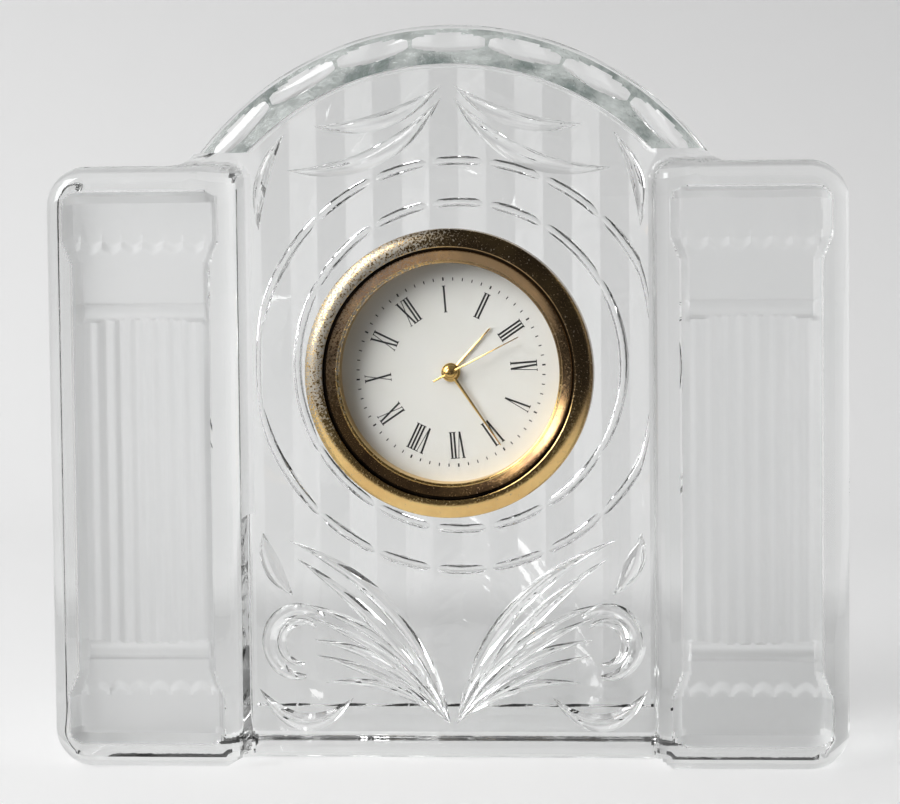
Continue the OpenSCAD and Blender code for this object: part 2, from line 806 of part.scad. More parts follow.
module bridge_screws() {
    color("silver") insert() for (at = screw_at) translate(at) difference() {
        union() {
            disc(screw_head_r, bridge_under - screw_head_t, bridge_under);
            disc(screw_r, bridge_under, bridge_top + screw_bite);
        }
        translate([-screw_head_r, -slot_w / 2, bridge_under - screw_head_t - over])
            cube([2 * screw_head_r, slot_w, over + slot_d]);
    }
}

// Stator: a yoke with two lugs on the core and an eye round the rotor
module stator() {
    air_gap = 0.15;
    color("lightsteelblue") insert() difference() {
        translate([0, 0, web_under - stator_t]) linear_extrude(stator_t) {
            translate([core_x[0], yoke_y[0]]) square([core_x[1] - core_x[0], yoke_y[1] - yoke_y[0]]);
            for (x = [core_x[0], core_x[1] - lug_w])
                translate([x, coil_y - core_w / 2]) square([lug_w, yoke_y[1] - coil_y + core_w / 2]);
            translate([rotor_at.x - eye_stem_w / 2, yoke_y[0]])
                square([eye_stem_w, rotor_at.y - yoke_y[0]]);
            translate(rotor_at) circle(r = eye_r);
        }
        translate(rotor_at) disc(magnet_r + air_gap, web_under - stator_t - over, web_under + over);
    }
}

module coil_core() {
    low = web_under - stator_t - core_t;
    color("slategray") insert() translate([core_x[0], coil_y - core_w / 2, low])
        cube([core_x[1] - core_x[0], core_w, core_t]);
}

// Copper winding on the core
module coil() {
    z = web_under - stator_t - core_t / 2;
    color("chocolate") insert() difference() {
        translate([coil_x, coil_y, z]) rotate([0, 90, 0]) cylinder(r = coil_r, h = coil_len);
        translate([coil_x - over, coil_y - core_w / 2 - end_gap, z - core_t / 2 - end_gap])
            cube([coil_len + 2 * over, core_w + 2 * end_gap, core_t + 2 * end_gap]);
    }
}

module circuit_board() {
    color("seagreen") insert() translate([board_x[0], board_y[0], bridge_top])
        cube([board_x[1] - board_x[0], board_y[1] - board_y[0], board_t]);
}

module timing_chip() {
    color("dimgray") insert() translate([chip_at.x, chip_at.y, bridge_top + board_t])
        cube([chip_w, chip_w, chip_t]);
}

module quartz_can() {
    r = (train_h - board_t - end_gap) / 2;
    color("silver") insert() translate([can_x, board_mid, bridge_top + board_t + r])
        rotate([0, 90, 0]) cylinder(r = r, h = can_len);
}

// Button cell: can and the smaller cap
module battery() {
    cap_t = 0.4;
    cap_inset = 0.5;
    color("lightgray") insert() translate(battery_at) {
        disc(battery_r, bridge_under, bridge_under + battery_h - cap_t);
        disc(battery_r - cap_inset, bridge_under + battery_h - cap_t, bridge_under + battery_h);
    }
}

module battery_strap() {
    color("gold") insert() translate([strap_at.x, strap_at.y, bridge_under - strap_t])
        cube([strap_w, strap_len, strap_t]);
}

// The train. Each arbor runs from the web of the main plate into the bridge

module train_arbor(at) {
    translate(at) {
        disc(arbor_r, bridge_top + end_gap, web_under - end_gap);
        disc(pivot_r, bridge_top - pivot_in, web_under + pivot_in);
    }
}

module rotor() {
    color("dimgray") insert() {
        train_arbor(rotor_at);
        translate(rotor_at) {
            disc(magnet_r, web_under - magnet_down - magnet_t, web_under - magnet_down);
            gear(rotor_teeth, rotor_dist * 2 / (rotor_teeth + idler_teeth),
                web_under - rotor_pinion_down - rotor_pinion_t, web_under - rotor_pinion_down, rotor_turn);
        }
    }
}

module intermediate_wheel() {
    color("ghostwhite") insert() {
        train_arbor(idler_at);
        translate(idler_at) {
            gear(idler_teeth, rotor_dist * 2 / (rotor_teeth + idler_teeth),
                web_under - idler_down - wheel_t, web_under - idler_down, idler_turn);
            gear(idler_pinion_teeth, idler_dist * 2 / (idler_pinion_teeth + seconds_teeth),
                web_under - idler_down, web_under - idler_pinion_down, idler_turn);
        }
    }
}

// The arbor of the seconds wheel runs forwards through the centre pipe to the second hand
module seconds_wheel() {
    color("gold") insert() {
        disc(seconds_arbor_r, bridge_top + end_gap, dial_top + second_hand_up);
        disc(pivot_r, bridge_top - pivot_in, bridge_top + end_gap);
        gear(seconds_teeth, idler_dist * 2 / (idler_pinion_teeth + seconds_teeth),
            web_under - seconds_down - wheel_t, web_under - seconds_down, seconds_turn);
        gear(seconds_pinion_teeth, third_dist * 2 / (seconds_pinion_teeth + third_teeth),
            web_under - seconds_down, web_under - seconds_pinion_down, seconds_turn);
    }
}

module third_wheel() {
    color("ghostwhite") insert() {
        train_arbor(third_at);
        translate(third_at) {
            gear(third_teeth, third_dist * 2 / (seconds_pinion_teeth + third_teeth),
                web_under - third_down - wheel_t, web_under - third_down, third_turn);
            gear(third_pinion_teeth, third_dist * 2 / (third_pinion_teeth + centre_teeth),
                web_under - third_pinion_down - pinion_t, web_under - third_pinion_down, third_turn);
        }
    }
}

// The centre wheel turns once an hour. Its pipe drives the cannon pinion by friction
module centre_wheel() {
    pipe_top = dial_top + 0.1;
    color("gold") insert() difference() {
        union() {
            gear(centre_teeth, third_dist * 2 / (third_pinion_teeth + centre_teeth),
                web_under - centre_down - wheel_t, web_under - centre_down, centre_turn);
            disc(centre_pipe_r, web_under - centre_down - wheel_t, pipe_top);
        }
        disc(seconds_arbor_r + run_gap, web_under - over, pipe_top + over);
    }
}

// The motion work

module cannon_pinion() {
    low = motion_floor + end_gap;
    cannon_t = 0.3;
    color("goldenrod") insert() difference() {
        union() {
            disc(cannon_r, web_under, dial_top + minute_hand_up);
            gear(cannon_teeth, motion_module, low, low + cannon_t, cannon_turn);
        }
        disc(centre_pipe_r + run_gap, web_under - over, dial_top + minute_hand_up + over);
    }
}

module minute_wheel() {
    low = motion_floor + wheel_gap;
    color("ghostwhite") insert() translate(minute_at) difference() {
        union() {
            gear(minute_teeth, motion_module, low, low + wheel_t, minute_turn);
            gear(minute_pinion_teeth, motion_module, low + wheel_t, plate_top - wheel_gap, minute_turn);
        }
        disc(post_r + run_gap, motion_floor - over, over);
    }
}

module hour_wheel() {
    high = plate_top - wheel_gap;
    hour_t = 0.18;
    color("ghostwhite") insert() difference() {
        union() {
            gear(hour_teeth, motion_module, high - hour_t, high, hour_turn);
            disc(hour_pipe_r, high - hour_t, dial_top + hour_hand_up);
        }
        disc(cannon_r + run_gap, motion_floor, dial_top + hour_hand_up + over);
    }
}

module setting_wheel() {
    low = motion_floor + wheel_gap;
    setting_t = 0.2;
    color("lightgray") insert() translate(setting_at) difference() {
        gear(setting_teeth, motion_module, low, low + setting_t, setting_turn);
        disc(post_r + run_gap, motion_floor - over, over);
    }
}

// Stem, crown and keyless work

// Pinion on the stem, with face teeth that drive the setting wheel
module sliding_pinion() {
    body_r = motion_floor - stem_z + 0.28;
    tooth_in = 0.52;
    tooth_out = body_r - 0.04;
    tooth_w = 0.14;
    color("silver") insert() difference() {
        along_stem(clutch_x) union() {
            translate([0, 0, clutch_teeth_len]) cylinder(r = body_r, h = clutch_len);
            rotate([0, 0, 90 + 180 / setting_teeth]) for (i = [0:setting_teeth - 1])
                rotate([0, 0, i * 360 / setting_teeth]) translate([tooth_in, -tooth_w / 2, 0])
                    cube([tooth_out - tooth_in, tooth_w, clutch_teeth_len + end_gap]);
        }
        along_stem(clutch_x - over) cylinder(r = stem_r + run_gap, h = 2 * over + clutch_len);
    }
}

// Stem with its pilot, and the groove for the setting lever between two collars
module setting_stem() {
    stem_start = clutch_x + clutch_bite;
    pilot_in = 0.4;
    pilot_len = crown_pull + pilot_in;
    color("silver") insert() {
        along_stem(stem_start - pilot_len) cylinder(r = stem_r / 2, h = pilot_len);
        along_stem(stem_start) cylinder(r = stem_r, h = crown_x - stem_start);
        for (x = [lever_at.x - groove_w / 2 - collar_w, lever_at.x + groove_w / 2])
            along_stem(x) cylinder(r = collar_r, h = collar_w);
    }
}

// Crown with a milled edge
module crown() {
    flutes = 20;
    flute_r = 0.15;
    collar = 0.3;
    color("goldenrod") insert() along_stem(crown_x) difference() {
        cylinder(r = crown_r, h = crown_len);
        for (i = [0:flutes - 1]) rotate([0, 0, i * 360 / flutes])
            translate([crown_r + flute_r / 3, 0, collar]) cylinder(r = flute_r, h = crown_len);
    }
}

// Lever that turns as the stem is pulled
module setting_lever() {
    high = web_under - lever_down;
    color("silver") insert() difference() {
        union() {
            translate(lever_at) disc(lever_post_r + run_gap + lever_eye_wall, high - lever_t, high);
            translate([lever_at.x, 0, 0]) disc(lever_tip_r, high - lever_t, high);
            translate([lever_at.x - lever_arm_w / 2, 0, high - lever_t])
                cube([lever_arm_w, lever_at.y, lever_t]);
            translate([lever_at.x, 0, 0])
                disc(groove_w / 2 - run_gap, high - lever_t, stem_z - stem_r - wheel_gap);
        }
        translate(lever_at) disc(lever_post_r + run_gap, high - lever_t - over, high + over);
    }
}

// The hands

// A flat hand with a hub and a straight taper to a fine tip, pointing along angle from twelve
module hand(angle, len, tail, hub_r, bore_r, w, low, high) {
    tip_w = 0.12;
    color("goldenrod") insert() difference() {
        rotate([0, 0, -angle]) translate([0, 0, low]) linear_extrude(high - low) {
            circle(r = hub_r);
            polygon([[-w / 2, -tail], [w / 2, -tail], [w / 2, 0],
                [tip_w / 2, len], [-tip_w / 2, len], [-w / 2, 0]]);
        }
        disc(bore_r, low - over, high + over);
    }
}

module hour_hand() {
    high = dial_top + hour_hand_up;
    hand(hour_angle, hour_len, 0, hour_hub_r, hour_pipe_r, hour_w, high - hand_t, high);
}

module minute_hand() {
    high = dial_top + minute_hand_up;
    hand(minute_angle, minute_len, 0, minute_hub_r, cannon_r, minute_w, high - hand_t, high);
}

module second_hand() {
    high = dial_top + second_hand_up;
    hand(second_angle, second_len, second_tail, second_hub_r, seconds_arbor_r, 0.3, high - second_t, high);
}

crystal_block();
grip_ring();
case_cup();
bezel();
lens();
lens_gasket();
reflector_ring();
dial();
movement_holder();
main_plate();
train_bridge();
bridge_screws();
stator();
coil_core();
coil();
circuit_board();
timing_chip();
quartz_can();
battery();
battery_strap();
rotor();
intermediate_wheel();
seconds_wheel();
third_wheel();
centre_wheel();
cannon_pinion();
minute_wheel();
hour_wheel();
setting_wheel();
sliding_pinion();
setting_stem();
crown();
setting_lever();
hour_hand();
minute_hand();
second_hand();
back_cover();
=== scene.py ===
import math

import bmesh
import bpy
import numpy as np
from mathutils import Matrix


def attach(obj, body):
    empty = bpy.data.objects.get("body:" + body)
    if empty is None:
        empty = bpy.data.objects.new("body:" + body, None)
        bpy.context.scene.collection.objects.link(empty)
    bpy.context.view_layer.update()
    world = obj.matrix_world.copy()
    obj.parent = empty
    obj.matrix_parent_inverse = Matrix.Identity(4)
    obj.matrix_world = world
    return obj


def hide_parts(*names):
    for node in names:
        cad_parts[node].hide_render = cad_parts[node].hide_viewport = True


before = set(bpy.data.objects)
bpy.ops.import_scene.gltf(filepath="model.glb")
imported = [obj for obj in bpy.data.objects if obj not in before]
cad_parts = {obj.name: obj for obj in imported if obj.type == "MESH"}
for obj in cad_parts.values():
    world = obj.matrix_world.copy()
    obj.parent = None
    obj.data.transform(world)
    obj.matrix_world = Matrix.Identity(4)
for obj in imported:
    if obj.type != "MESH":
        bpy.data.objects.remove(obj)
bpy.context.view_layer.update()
scene = bpy.context.scene
scene.view_settings.view_transform = "Standard"


# Camera. It stands less than half a metre in front of the clock, a little to the right and a little above
# it, and leans by less than a degree, as the photograph does. MM makes metres of this script's millimetres.
MM = 0.001
AIM = np.array([-0.70, 0.0, 44.97]) * MM
AZIMUTH, ELEVATION, LEAN = np.radians([4.99, 4.0, -0.59])
DISTANCE, NEAREST, FARTHEST = 0.4245, 0.01, 20
FOCAL_PIXELS, FRAME_PIXELS, SENSOR = 3299, 900, 36

forward = np.array([-math.sin(AZIMUTH) * math.cos(ELEVATION), math.cos(AZIMUTH) * math.cos(ELEVATION),
                    -math.sin(ELEVATION)])
level = np.array([math.cos(AZIMUTH), math.sin(AZIMUTH), 0.0])
above = np.cross(level, forward)
camera = bpy.data.objects.new("camera", bpy.data.cameras.new("camera"))
scene.collection.objects.link(camera)
scene.camera = camera
camera.data.sensor_width = SENSOR
camera.data.lens = SENSOR * FOCAL_PIXELS / FRAME_PIXELS
camera.data.clip_start, camera.data.clip_end = NEAREST, FARTHEST
stand = np.eye(4)
stand[:3, 0] = math.cos(LEAN) * level + math.sin(LEAN) * above
stand[:3, 1] = math.cos(LEAN) * above - math.sin(LEAN) * level
stand[:3, 2] = -forward
stand[:3, 3] = AIM - forward * DISTANCE
camera.matrix_world = Matrix(stand.tolist())


# Studio, in metres. A sheet of pale card runs flat under the clock and curves up behind it, and its glow is
# painted lighter towards the left as a painted falloff of light. One large softbox stands at the left, and
# the room overhead, in front and at the right is dark, which is what the gold and the crystal's edges show.
CARD_DEPTH, CARD_BEND, CARD_TOP, CARD_WIDTH, CARD_FRONT, CARD_LEVEL = 0.25, 0.30, 1.6, 3.2, -0.13, -0.00005
CARD_GREY, CARD_GLOW = 0.84, 0.34
ROOM_LIGHT_SIDE, ROOM_DARK, ROOM_BRIGHT = (-0.72, 0.66, 0.05), 0.06, 0.85
KEY_PLACE, KEY_AIM, KEY_SIZE, KEY_POWER = (-0.75, -0.65, 0.55), (0, 0, 0.05), (0.6, 0.8), 12


def grid_faces(rows, columns, closed_rows=False, closed_columns=False):
    """Four-sided faces between neighbours of a grid whose points are stored row after row."""
    r = np.arange(rows if closed_rows else rows - 1)[:, None]
    c = np.arange(columns if closed_columns else columns - 1)[None, :]
    r1, c1 = (r + 1) % rows, (c + 1) % columns
    quads = np.stack([r * columns + c, r * columns + c1, r1 * columns + c1, r1 * columns + c], -1)
    return quads.reshape(-1, 4)


def make_object(name, points, faces):
    """An object at the origin whose mesh holds these points, in metres, with its faces turned outwards."""
    mesh = bpy.data.meshes.new(name)
    mesh.from_pydata(np.asarray(points).reshape(-1, 3).tolist(), [], [list(map(int, face)) for face in faces])
    work = bmesh.new()
    work.from_mesh(mesh)
    bmesh.ops.remove_doubles(work, verts=work.verts, dist=1e-7)
    bmesh.ops.recalc_face_normals(work, faces=work.faces)
    work.to_mesh(mesh)
    work.free()
    made = bpy.data.objects.new(name, mesh)
    scene.collection.objects.link(made)
    return made


def smooth(mesh, bend=180):
    """Every face is shaded smooth, and edges that bend by more than an angle in degrees stay sharp."""
    mesh.polygons.foreach_set("use_smooth", [True] * len(mesh.polygons))
    if bend < 180:
        mesh.set_sharp_from_angle(angle=math.radians(bend))


def feed(tree, socket, value):
    """A plain value is written into a socket, and another node's output is linked to it."""
    if isinstance(value, bpy.types.NodeSocket):
        tree.links.new(value, socket)
    else:
        socket.default_value = value


def fill(tree, node, **values):
    """Several of a node's inputs, by name, with a space written as an underscore."""
    for name, value in values.items():
        feed(tree, node.inputs[name.replace("_", " ")], value)


def sums(tree, operation, *values):
    """One step of arithmetic on numbers or sockets."""
    step = tree.nodes.new("ShaderNodeMath")
    step.operation = operation
    for socket, value in zip(step.inputs, values):
        feed(tree, socket, value)
    return step.outputs[0]


def between(tree, value, low, high, to_low=0.0, to_high=1.0, kind="SMOOTHSTEP"):
    """A value carried from one range to another, eased by 3t^2 - 2t^3 or, where kind is LINEAR, straight."""
    step = tree.nodes.new("ShaderNodeMapRange")
    step.interpolation_type = kind
    fill(tree, step, Value=value, From_Min=low, From_Max=high, To_Min=to_low, To_Max=to_high)
    return step.outputs[0]


def new_material(name):
    """A material, its node tree and its Principled shader."""
    material = bpy.data.materials.new(name)
    material.use_nodes = True
    return material, material.node_tree, material.node_tree.nodes["Principled BSDF"]


bend = np.radians(np.linspace(0, 90, 25))
card_line = np.vstack([[[CARD_FRONT, CARD_LEVEL]],
                       np.column_stack([CARD_DEPTH + CARD_BEND * np.sin(bend),
                                        CARD_BEND * (1 - np.cos(bend)) + CARD_LEVEL]),
                       [[CARD_DEPTH + CARD_BEND, CARD_TOP]]])
across = np.linspace(-CARD_WIDTH / 2, CARD_WIDTH / 2, 3)
card_points = np.stack([np.broadcast_to(across, (len(card_line), 3)),
                        np.broadcast_to(card_line[:, :1], (len(card_line), 3)),
                        np.broadcast_to(card_line[:, 1:], (len(card_line), 3))], -1)
card = make_object("backdrop", card_points, grid_faces(len(card_line), 3))
card.data.flip_normals()
smooth(card.data)
card_paint, tree, paint = new_material("pale_card")
fill(tree, paint, Base_Color=(CARD_GREY, CARD_GREY, CARD_GREY, 1), Roughness=0.9, Specular_IOR_Level=0.1,
     Emission_Color=(1, 1, 1, 1))
place = tree.nodes.new("ShaderNodeTexCoord")
split = tree.nodes.new("ShaderNodeSeparateXYZ")
tree.links.new(place.outputs["Object"], split.inputs[0])
ray = tree.nodes.new("ShaderNodeLightPath").outputs
# The card is as light to the camera, and in glass and metal, as the photograph's; it gives no more light for
# that.
# Its glow fades to the right and upwards as a painted falloff of light, and its near part seen through the
# glass is painted shade.
glow_painted_falloff_right = between(tree, split.outputs["X"], -0.35, 0.35, 1.0, 0.55, "LINEAR")
glow_painted_falloff_up = between(tree, split.outputs["Z"], 0.0, 0.12, 0.95, 0.45, "LINEAR")
painted_contact_shade = between(tree, split.outputs["Y"], 0.13, 0.18, 0.2, 1.0, "LINEAR")
painted_shade_in_glass = sums(tree, "MULTIPLY_ADD", ray["Is Transmission Ray"], sums(tree, "SUBTRACT", painted_contact_shade, 1.0), 1.0)
seen = sums(tree, "MAXIMUM", ray["Is Camera Ray"], ray["Is Glossy Ray"])
seen = sums(tree, "MAXIMUM", seen, ray["Is Transmission Ray"])
glow = CARD_GLOW
for share in (glow_painted_falloff_right, glow_painted_falloff_up, painted_shade_in_glass, seen):
    glow = sums(tree, "MULTIPLY", share, glow)
# From behind, the camera looks through the card
facing_away = tree.nodes.new("ShaderNodeNewGeometry").outputs["Backfacing"]
from_behind = sums(tree, "MULTIPLY", facing_away, ray["Is Camera Ray"])
fill(tree, paint, Emission_Strength=glow, Alpha=sums(tree, "SUBTRACT", 1.0, from_behind))
card.data.materials.append(card_paint)

room = bpy.data.worlds.new("room")
scene.world = room
room.use_nodes = True
tree = room.node_tree
direction = tree.nodes.new("ShaderNodeTexCoord")
towards = tree.nodes.new("ShaderNodeVectorMath")
towards.operation = "DOT_PRODUCT"
towards.inputs[1].default_value = ROOM_LIGHT_SIDE
tree.links.new(direction.outputs["Generated"], towards.inputs[0])
light = between(tree, towards.outputs["Value"], 0.15, 0.6, ROOM_DARK, ROOM_BRIGHT)
fill(tree, tree.nodes["Background"], Color=light, Strength=1.0)

lamp = bpy.data.lights.new("key_lamp", "AREA")
lamp.shape, lamp.size, lamp.size_y, lamp.energy = "RECTANGLE", KEY_SIZE[0], KEY_SIZE[1], KEY_POWER
softbox = bpy.data.objects.new("key_lamp", lamp)
scene.collection.objects.link(softbox)
away = np.subtract(KEY_PLACE, KEY_AIM) / np.linalg.norm(np.subtract(KEY_PLACE, KEY_AIM))
side = np.cross([0, 0, 1], away)
side /= np.linalg.norm(side)
placed = np.eye(4)
placed[:3] = np.column_stack([side, np.cross(away, side), away, KEY_PLACE])
softbox.matrix_world = Matrix(placed.tolist())


# Surface detail. Real glass, metal, plastic and paint are never one even colour: these groups mix two
# colours over a fine and a coarse grain, and give a roughness and a height that change with it.
GRAIN_MIDDLE, GRAIN_WIDE, LINE_LENGTH, BUMP_STRENGTH = (0.35, 0.65), (0.3, 0.7), 40, 0.6


def node_group(name, numbers, made):
    """A shader node group. It takes a Vector, the colours Colour and Other and some numbers, and gives the
    Color, Roughness and Height that a function makes of them."""
    group = bpy.data.node_groups.new(name, "ShaderNodeTree")
    sockets = [("Vector", "INPUT", "Vector"), ("Colour", "INPUT", "Color"), ("Other", "INPUT", "Color")]
    sockets += [(number, "INPUT", "Float") for number in numbers]
    sockets += [("Color", "OUTPUT", "Color"), ("Roughness", "OUTPUT", "Float"), ("Height", "OUTPUT", "Float")]
    for socket, way, kind in sockets:
        group.interface.new_socket(socket, in_out=way, socket_type="NodeSocket" + kind)
    start, end = group.nodes.new("NodeGroupInput"), group.nodes.new("NodeGroupOutput")
    colour, rough, height = made(group, start.outputs)
    fill(group, end, Color=colour, Roughness=rough, Height=height)
    return group


def noise(tree, vector, scale, detail=4.0, rough=0.6):
    """Grain between 0 and 1 with so many grains to a metre."""
    grain = tree.nodes.new("ShaderNodeTexNoise")
    fill(tree, grain, Vector=vector, Scale=scale, Detail=detail, Roughness=rough)
    return grain.outputs["Fac"]


def blended(tree, mask, first, second):
    """Two colours mixed by a mask."""
    mix = tree.nodes.new("ShaderNodeMix")
    mix.data_type = "RGBA"
    for number, value in ((0, mask), (6, first), (7, second)):
        feed(tree, mix.inputs[number], value)
    return mix.outputs[2]


def grained_surface(tree, given):
    """Colour from the coarse grain, roughness and height from the fine one."""
    coarse = noise(tree, given["Vector"], given["Coarse"])
    fine = noise(tree, given["Vector"], given["Fine"])
    colour = blended(tree, between(tree, coarse, *GRAIN_MIDDLE), given["Colour"], given["Other"])
    rough = between(tree, fine, *GRAIN_WIDE, given["Smoothest"], given["Roughest"])
    return colour, rough, fine


def lined_surface(tree, given):
    """Fine parallel lines broken by grain, as on brushed steel, wound wire and turned metal: the grain is
    squeezed along one direction, and the colour follows 0.6 parts of lines and 0.4 parts of coarse grain."""
    coarse = noise(tree, given["Vector"], given["Coarse"])
    squeezed = tree.nodes.new("ShaderNodeVectorMath")
    squeezed.operation = "MULTIPLY"
    feed(tree, squeezed.inputs[0], given["Vector"])
    feed(tree, squeezed.inputs[1], (1, 1, LINE_LENGTH))
    lines = noise(tree, squeezed.outputs[0], given["Fine"], 2.0)
    mixed = sums(tree, "MULTIPLY_ADD", lines, 0.6, sums(tree, "MULTIPLY", coarse, 0.4))
    colour = blended(tree, between(tree, mixed, *GRAIN_MIDDLE), given["Colour"], given["Other"])
    rough = between(tree, lines, *GRAIN_WIDE, given["Smoothest"], given["Roughest"])
    return colour, rough, lines


def dressed(name, group, bump, strength, plain, **inside):
    """A material: a node group in Object coordinates feeds colour, roughness and a shallow bump. The plain
    values go into the shader, and the others into the group."""
    material, tree, shader = new_material(name)
    detail = tree.nodes.new("ShaderNodeGroup")
    detail.node_tree = group
    place = tree.nodes.new("ShaderNodeTexCoord")
    fill(tree, detail, Vector=place.outputs["Object"], **inside)
    relief = tree.nodes.new("ShaderNodeBump")
    fill(tree, relief, Distance=bump, Strength=strength, Height=detail.outputs["Height"])
    fill(tree, shader, Base_Color=detail.outputs["Color"], Roughness=detail.outputs["Roughness"],
         Normal=relief.outputs[0], **plain)
    return material


def finish(name, group, colours, coarse, fine, rough, metallic=0.0, bump=0.00001, **plain):
    """A material in the grained or the lined group, with grains to a metre and a bump in metres."""
    return dressed(name, group, bump, BUMP_STRENGTH, {"Metallic": metallic, **plain},
                   Colour=(*colours[0], 1), Other=(*colours[1], 1), Coarse=coarse, Fine=fine,
                   Smoothest=rough[0], Roughest=rough[1])


def clear_to_light(material, shade):
    """A shadow ray passes a wall of the glass and keeps all but this share of its light."""
    tree = material.node_tree
    path = tree.nodes.new("ShaderNodeLightPath")
    alpha = sums(tree, "MULTIPLY_ADD", path.outputs["Is Shadow Ray"], shade - 1.0, 1.0)
    fill(tree, tree.nodes["Principled BSDF"], Alpha=alpha)


grained = node_group("grained_surface", ["Coarse", "Fine", "Smoothest", "Roughest"], grained_surface)
lined = node_group("lined_surface", ["Coarse", "Fine", "Smoothest", "Roughest"], lined_surface)


# Crystal block. One piece of clear lead crystal, pressed in a mould: two pillars stand in front of the middle
# panel, a column is sunk into each and frosted with acid, leaves stand on the panel, and the back is cut in
# pleats. It stands on its ground foot.
BLOCK_W, SHOULDER, ARCH_TOP, ARCH_R, CORNER, EDGE, BLEND = 99.8, 75.6, 93.1, 40.6, 5.0, 2.2, 3.5
FRONT, PANEL, BACK, PILLAR_W, PILLAR_CORNER, BACK_ROUND = -16.0, -7.5, 16.0, 24.0, 2.6, 1.2
HALF, ARCH_Z = BLOCK_W / 2, ARCH_TOP - ARCH_R
PILLAR_X, WALL = HALF - PILLAR_W / 2, HALF - PILLAR_W
CLOCK_Z = 49.2
# The fillet between a pillar's wall and the panel: how far out from the wall and in front of the panel it is
FILLET_OUT, FILLET_RISE = np.array([0.08, 0.2, 0.45, 0.8, 1.3]), np.array([1.2, 0.65, 0.25, 0.06, 0])
PANEL_FOOT_ROUND = 0.8
# The column, from its half widths to the depths of its parts below the pillar's front
COLUMN, CAPITAL, COLUMN_FOOT, COLUMN_HEAD, SHAFT_LOW, SHAFT_HIGH = 8.8, 10.0, 3.0, 72.6, 14.8, 57.3
FLARES, BORDER, BORDER_SLOPE = [9.0, 12.2, 63.3, 66.5], 2.2, 1.3
BLOCK_LOW, BLOCK_HIGH, BLOCK_SLOPE = 10.2, 65.3, 1.5
NECK_DEPTH, BLOCK_DEEPER, SHAFT_DEPTH, SHAFT_ROUND, SHAFT_SLOPE = 1.9, 0.55, 1.7, 1.1, 0.8
FLUTES, FLUTE_RISE, PETAL_WIDE, PETAL_HIGH = 9, 0.36, 2.6, 0.9
RING_ROUND, RING_DEPTH, RING_ALONE = 1.3, 1.45, 0.9


def soft_step(distance, width):
    """0 below zero, 1 above the width, and 3t^2 - 2t^3 between."""
    t = np.clip(distance / width, 0, 1)
    return t * t * (3 - 2 * t)


def rounded(distance, radius):
    """How far a rounded edge has fallen away at a distance inside it: r - sqrt(r^2 - (r - d)^2)."""
    return radius - np.sqrt(radius ** 2 - (radius - np.clip(distance, 0, radius)) ** 2)


def outline_top(x):
    """Height of the outline over x: arch, concave blend, flat shoulder, round corner, each a piece of a
    circle or a level line."""
    x = abs(x)
    blend_z = SHOULDER + BLEND
    blend_x = math.sqrt((ARCH_R + BLEND) ** 2 - (blend_z - ARCH_Z) ** 2)
    touch_x = blend_x * ARCH_R / (ARCH_R + BLEND)
    arch = ARCH_Z + np.sqrt(np.maximum(ARCH_R ** 2 - x ** 2, 0))
    blend = blend_z - np.sqrt(np.maximum(BLEND ** 2 - (x - blend_x) ** 2, 0))
    corner = SHOULDER - CORNER + np.sqrt(np.maximum(CORNER ** 2 - (x - HALF + CORNER) ** 2, 0))
    return np.select([x < touch_x, x < blend_x, x < HALF - CORNER], [arch, blend, SHOULDER], corner)


def outline_bottom(x):
    """Height of the foot over x: flat, with a round corner."""
    past = np.maximum(abs(x) - HALF + CORNER, 0)
    return CORNER - np.sqrt(CORNER ** 2 - past ** 2)


def pillar_distance(x, z):
    """Distance outside the front of the nearer pillar, a rectangle with round corners, negative inside it."""
    radius = np.where(abs(x) > PILLAR_X, CORNER, PILLAR_CORNER)
    over_x = abs(abs(x) - PILLAR_X) - PILLAR_W / 2 + radius
    over_z = abs(z - SHOULDER / 2) - SHOULDER / 2 + radius
    inside = np.minimum(np.maximum(over_x, over_z), 0)
    return np.hypot(np.maximum(over_x, 0), np.maximum(over_z, 0)) + inside - radius


def column_depth(x, z):
    """Depth of the sunk column: blocks, scalloped flares, necks, round rings and a fluted shaft, one over
    another. It fades out towards a border with round corners, because the mould and the acid leave no sharp
    edge. Flutes and scallops are cosines and sines across the column."""
    u = abs(x) - PILLAR_X
    half_width = np.interp(z, FLARES, [CAPITAL, COLUMN, COLUMN, CAPITAL])
    petals = PETAL_HIGH * abs(np.sin(math.pi * u / PETAL_WIDE))
    block = np.maximum(soft_step(BLOCK_LOW + petals - z, BLOCK_SLOPE),
                       soft_step(z - BLOCK_HIGH + petals, BLOCK_SLOPE))
    flute = 0.5 - 0.5 * np.cos(math.pi * u / COLUMN * FLUTES + math.pi)
    shaft = SHAFT_DEPTH + SHAFT_ROUND * (1 - np.clip(u / COLUMN, -1, 1) ** 2) - FLUTE_RISE * flute
    in_shaft = soft_step(z - SHAFT_LOW, SHAFT_SLOPE) * soft_step(SHAFT_HIGH - z, SHAFT_SLOPE)
    depth = (NECK_DEPTH + BLOCK_DEEPER * block) * (1 - in_shaft) + shaft * in_shaft
    for ring_z in (SHAFT_LOW, SHAFT_HIGH):
        bulge = np.sqrt(np.maximum(RING_ROUND ** 2 - (z - ring_z) ** 2, 0))
        on_ring = np.maximum(depth * (bulge < RING_ALONE), RING_DEPTH + bulge)
        depth = np.where(bulge > 0, on_ring, depth)
    over_u = np.maximum(abs(u) - half_width + BORDER, 0)
    half_height = (COLUMN_HEAD - COLUMN_FOOT) / 2
    over_z = np.maximum(abs(z - COLUMN_FOOT - half_height) - half_height + BORDER, 0)
    return depth * soft_step(BORDER - np.hypot(over_u, over_z), BORDER_SLOPE)


def front_face(x, z):
    """Depth coordinate of the front: pillars with round edges, their walls, a small fillet, and the panel."""
    out = pillar_distance(x, z)
    pillar = FRONT + rounded(-out, EDGE) + column_depth(x, z)
    wall = np.interp(out, [0, *FILLET_OUT], [FRONT + EDGE, *(PANEL - FILLET_RISE)])
    on_panel = np.clip(out / FILLET_OUT[-1], 0, 1)
    return np.where(out < 0, pillar, wall + rounded(z, PANEL_FOOT_ROUND) * on_panel)


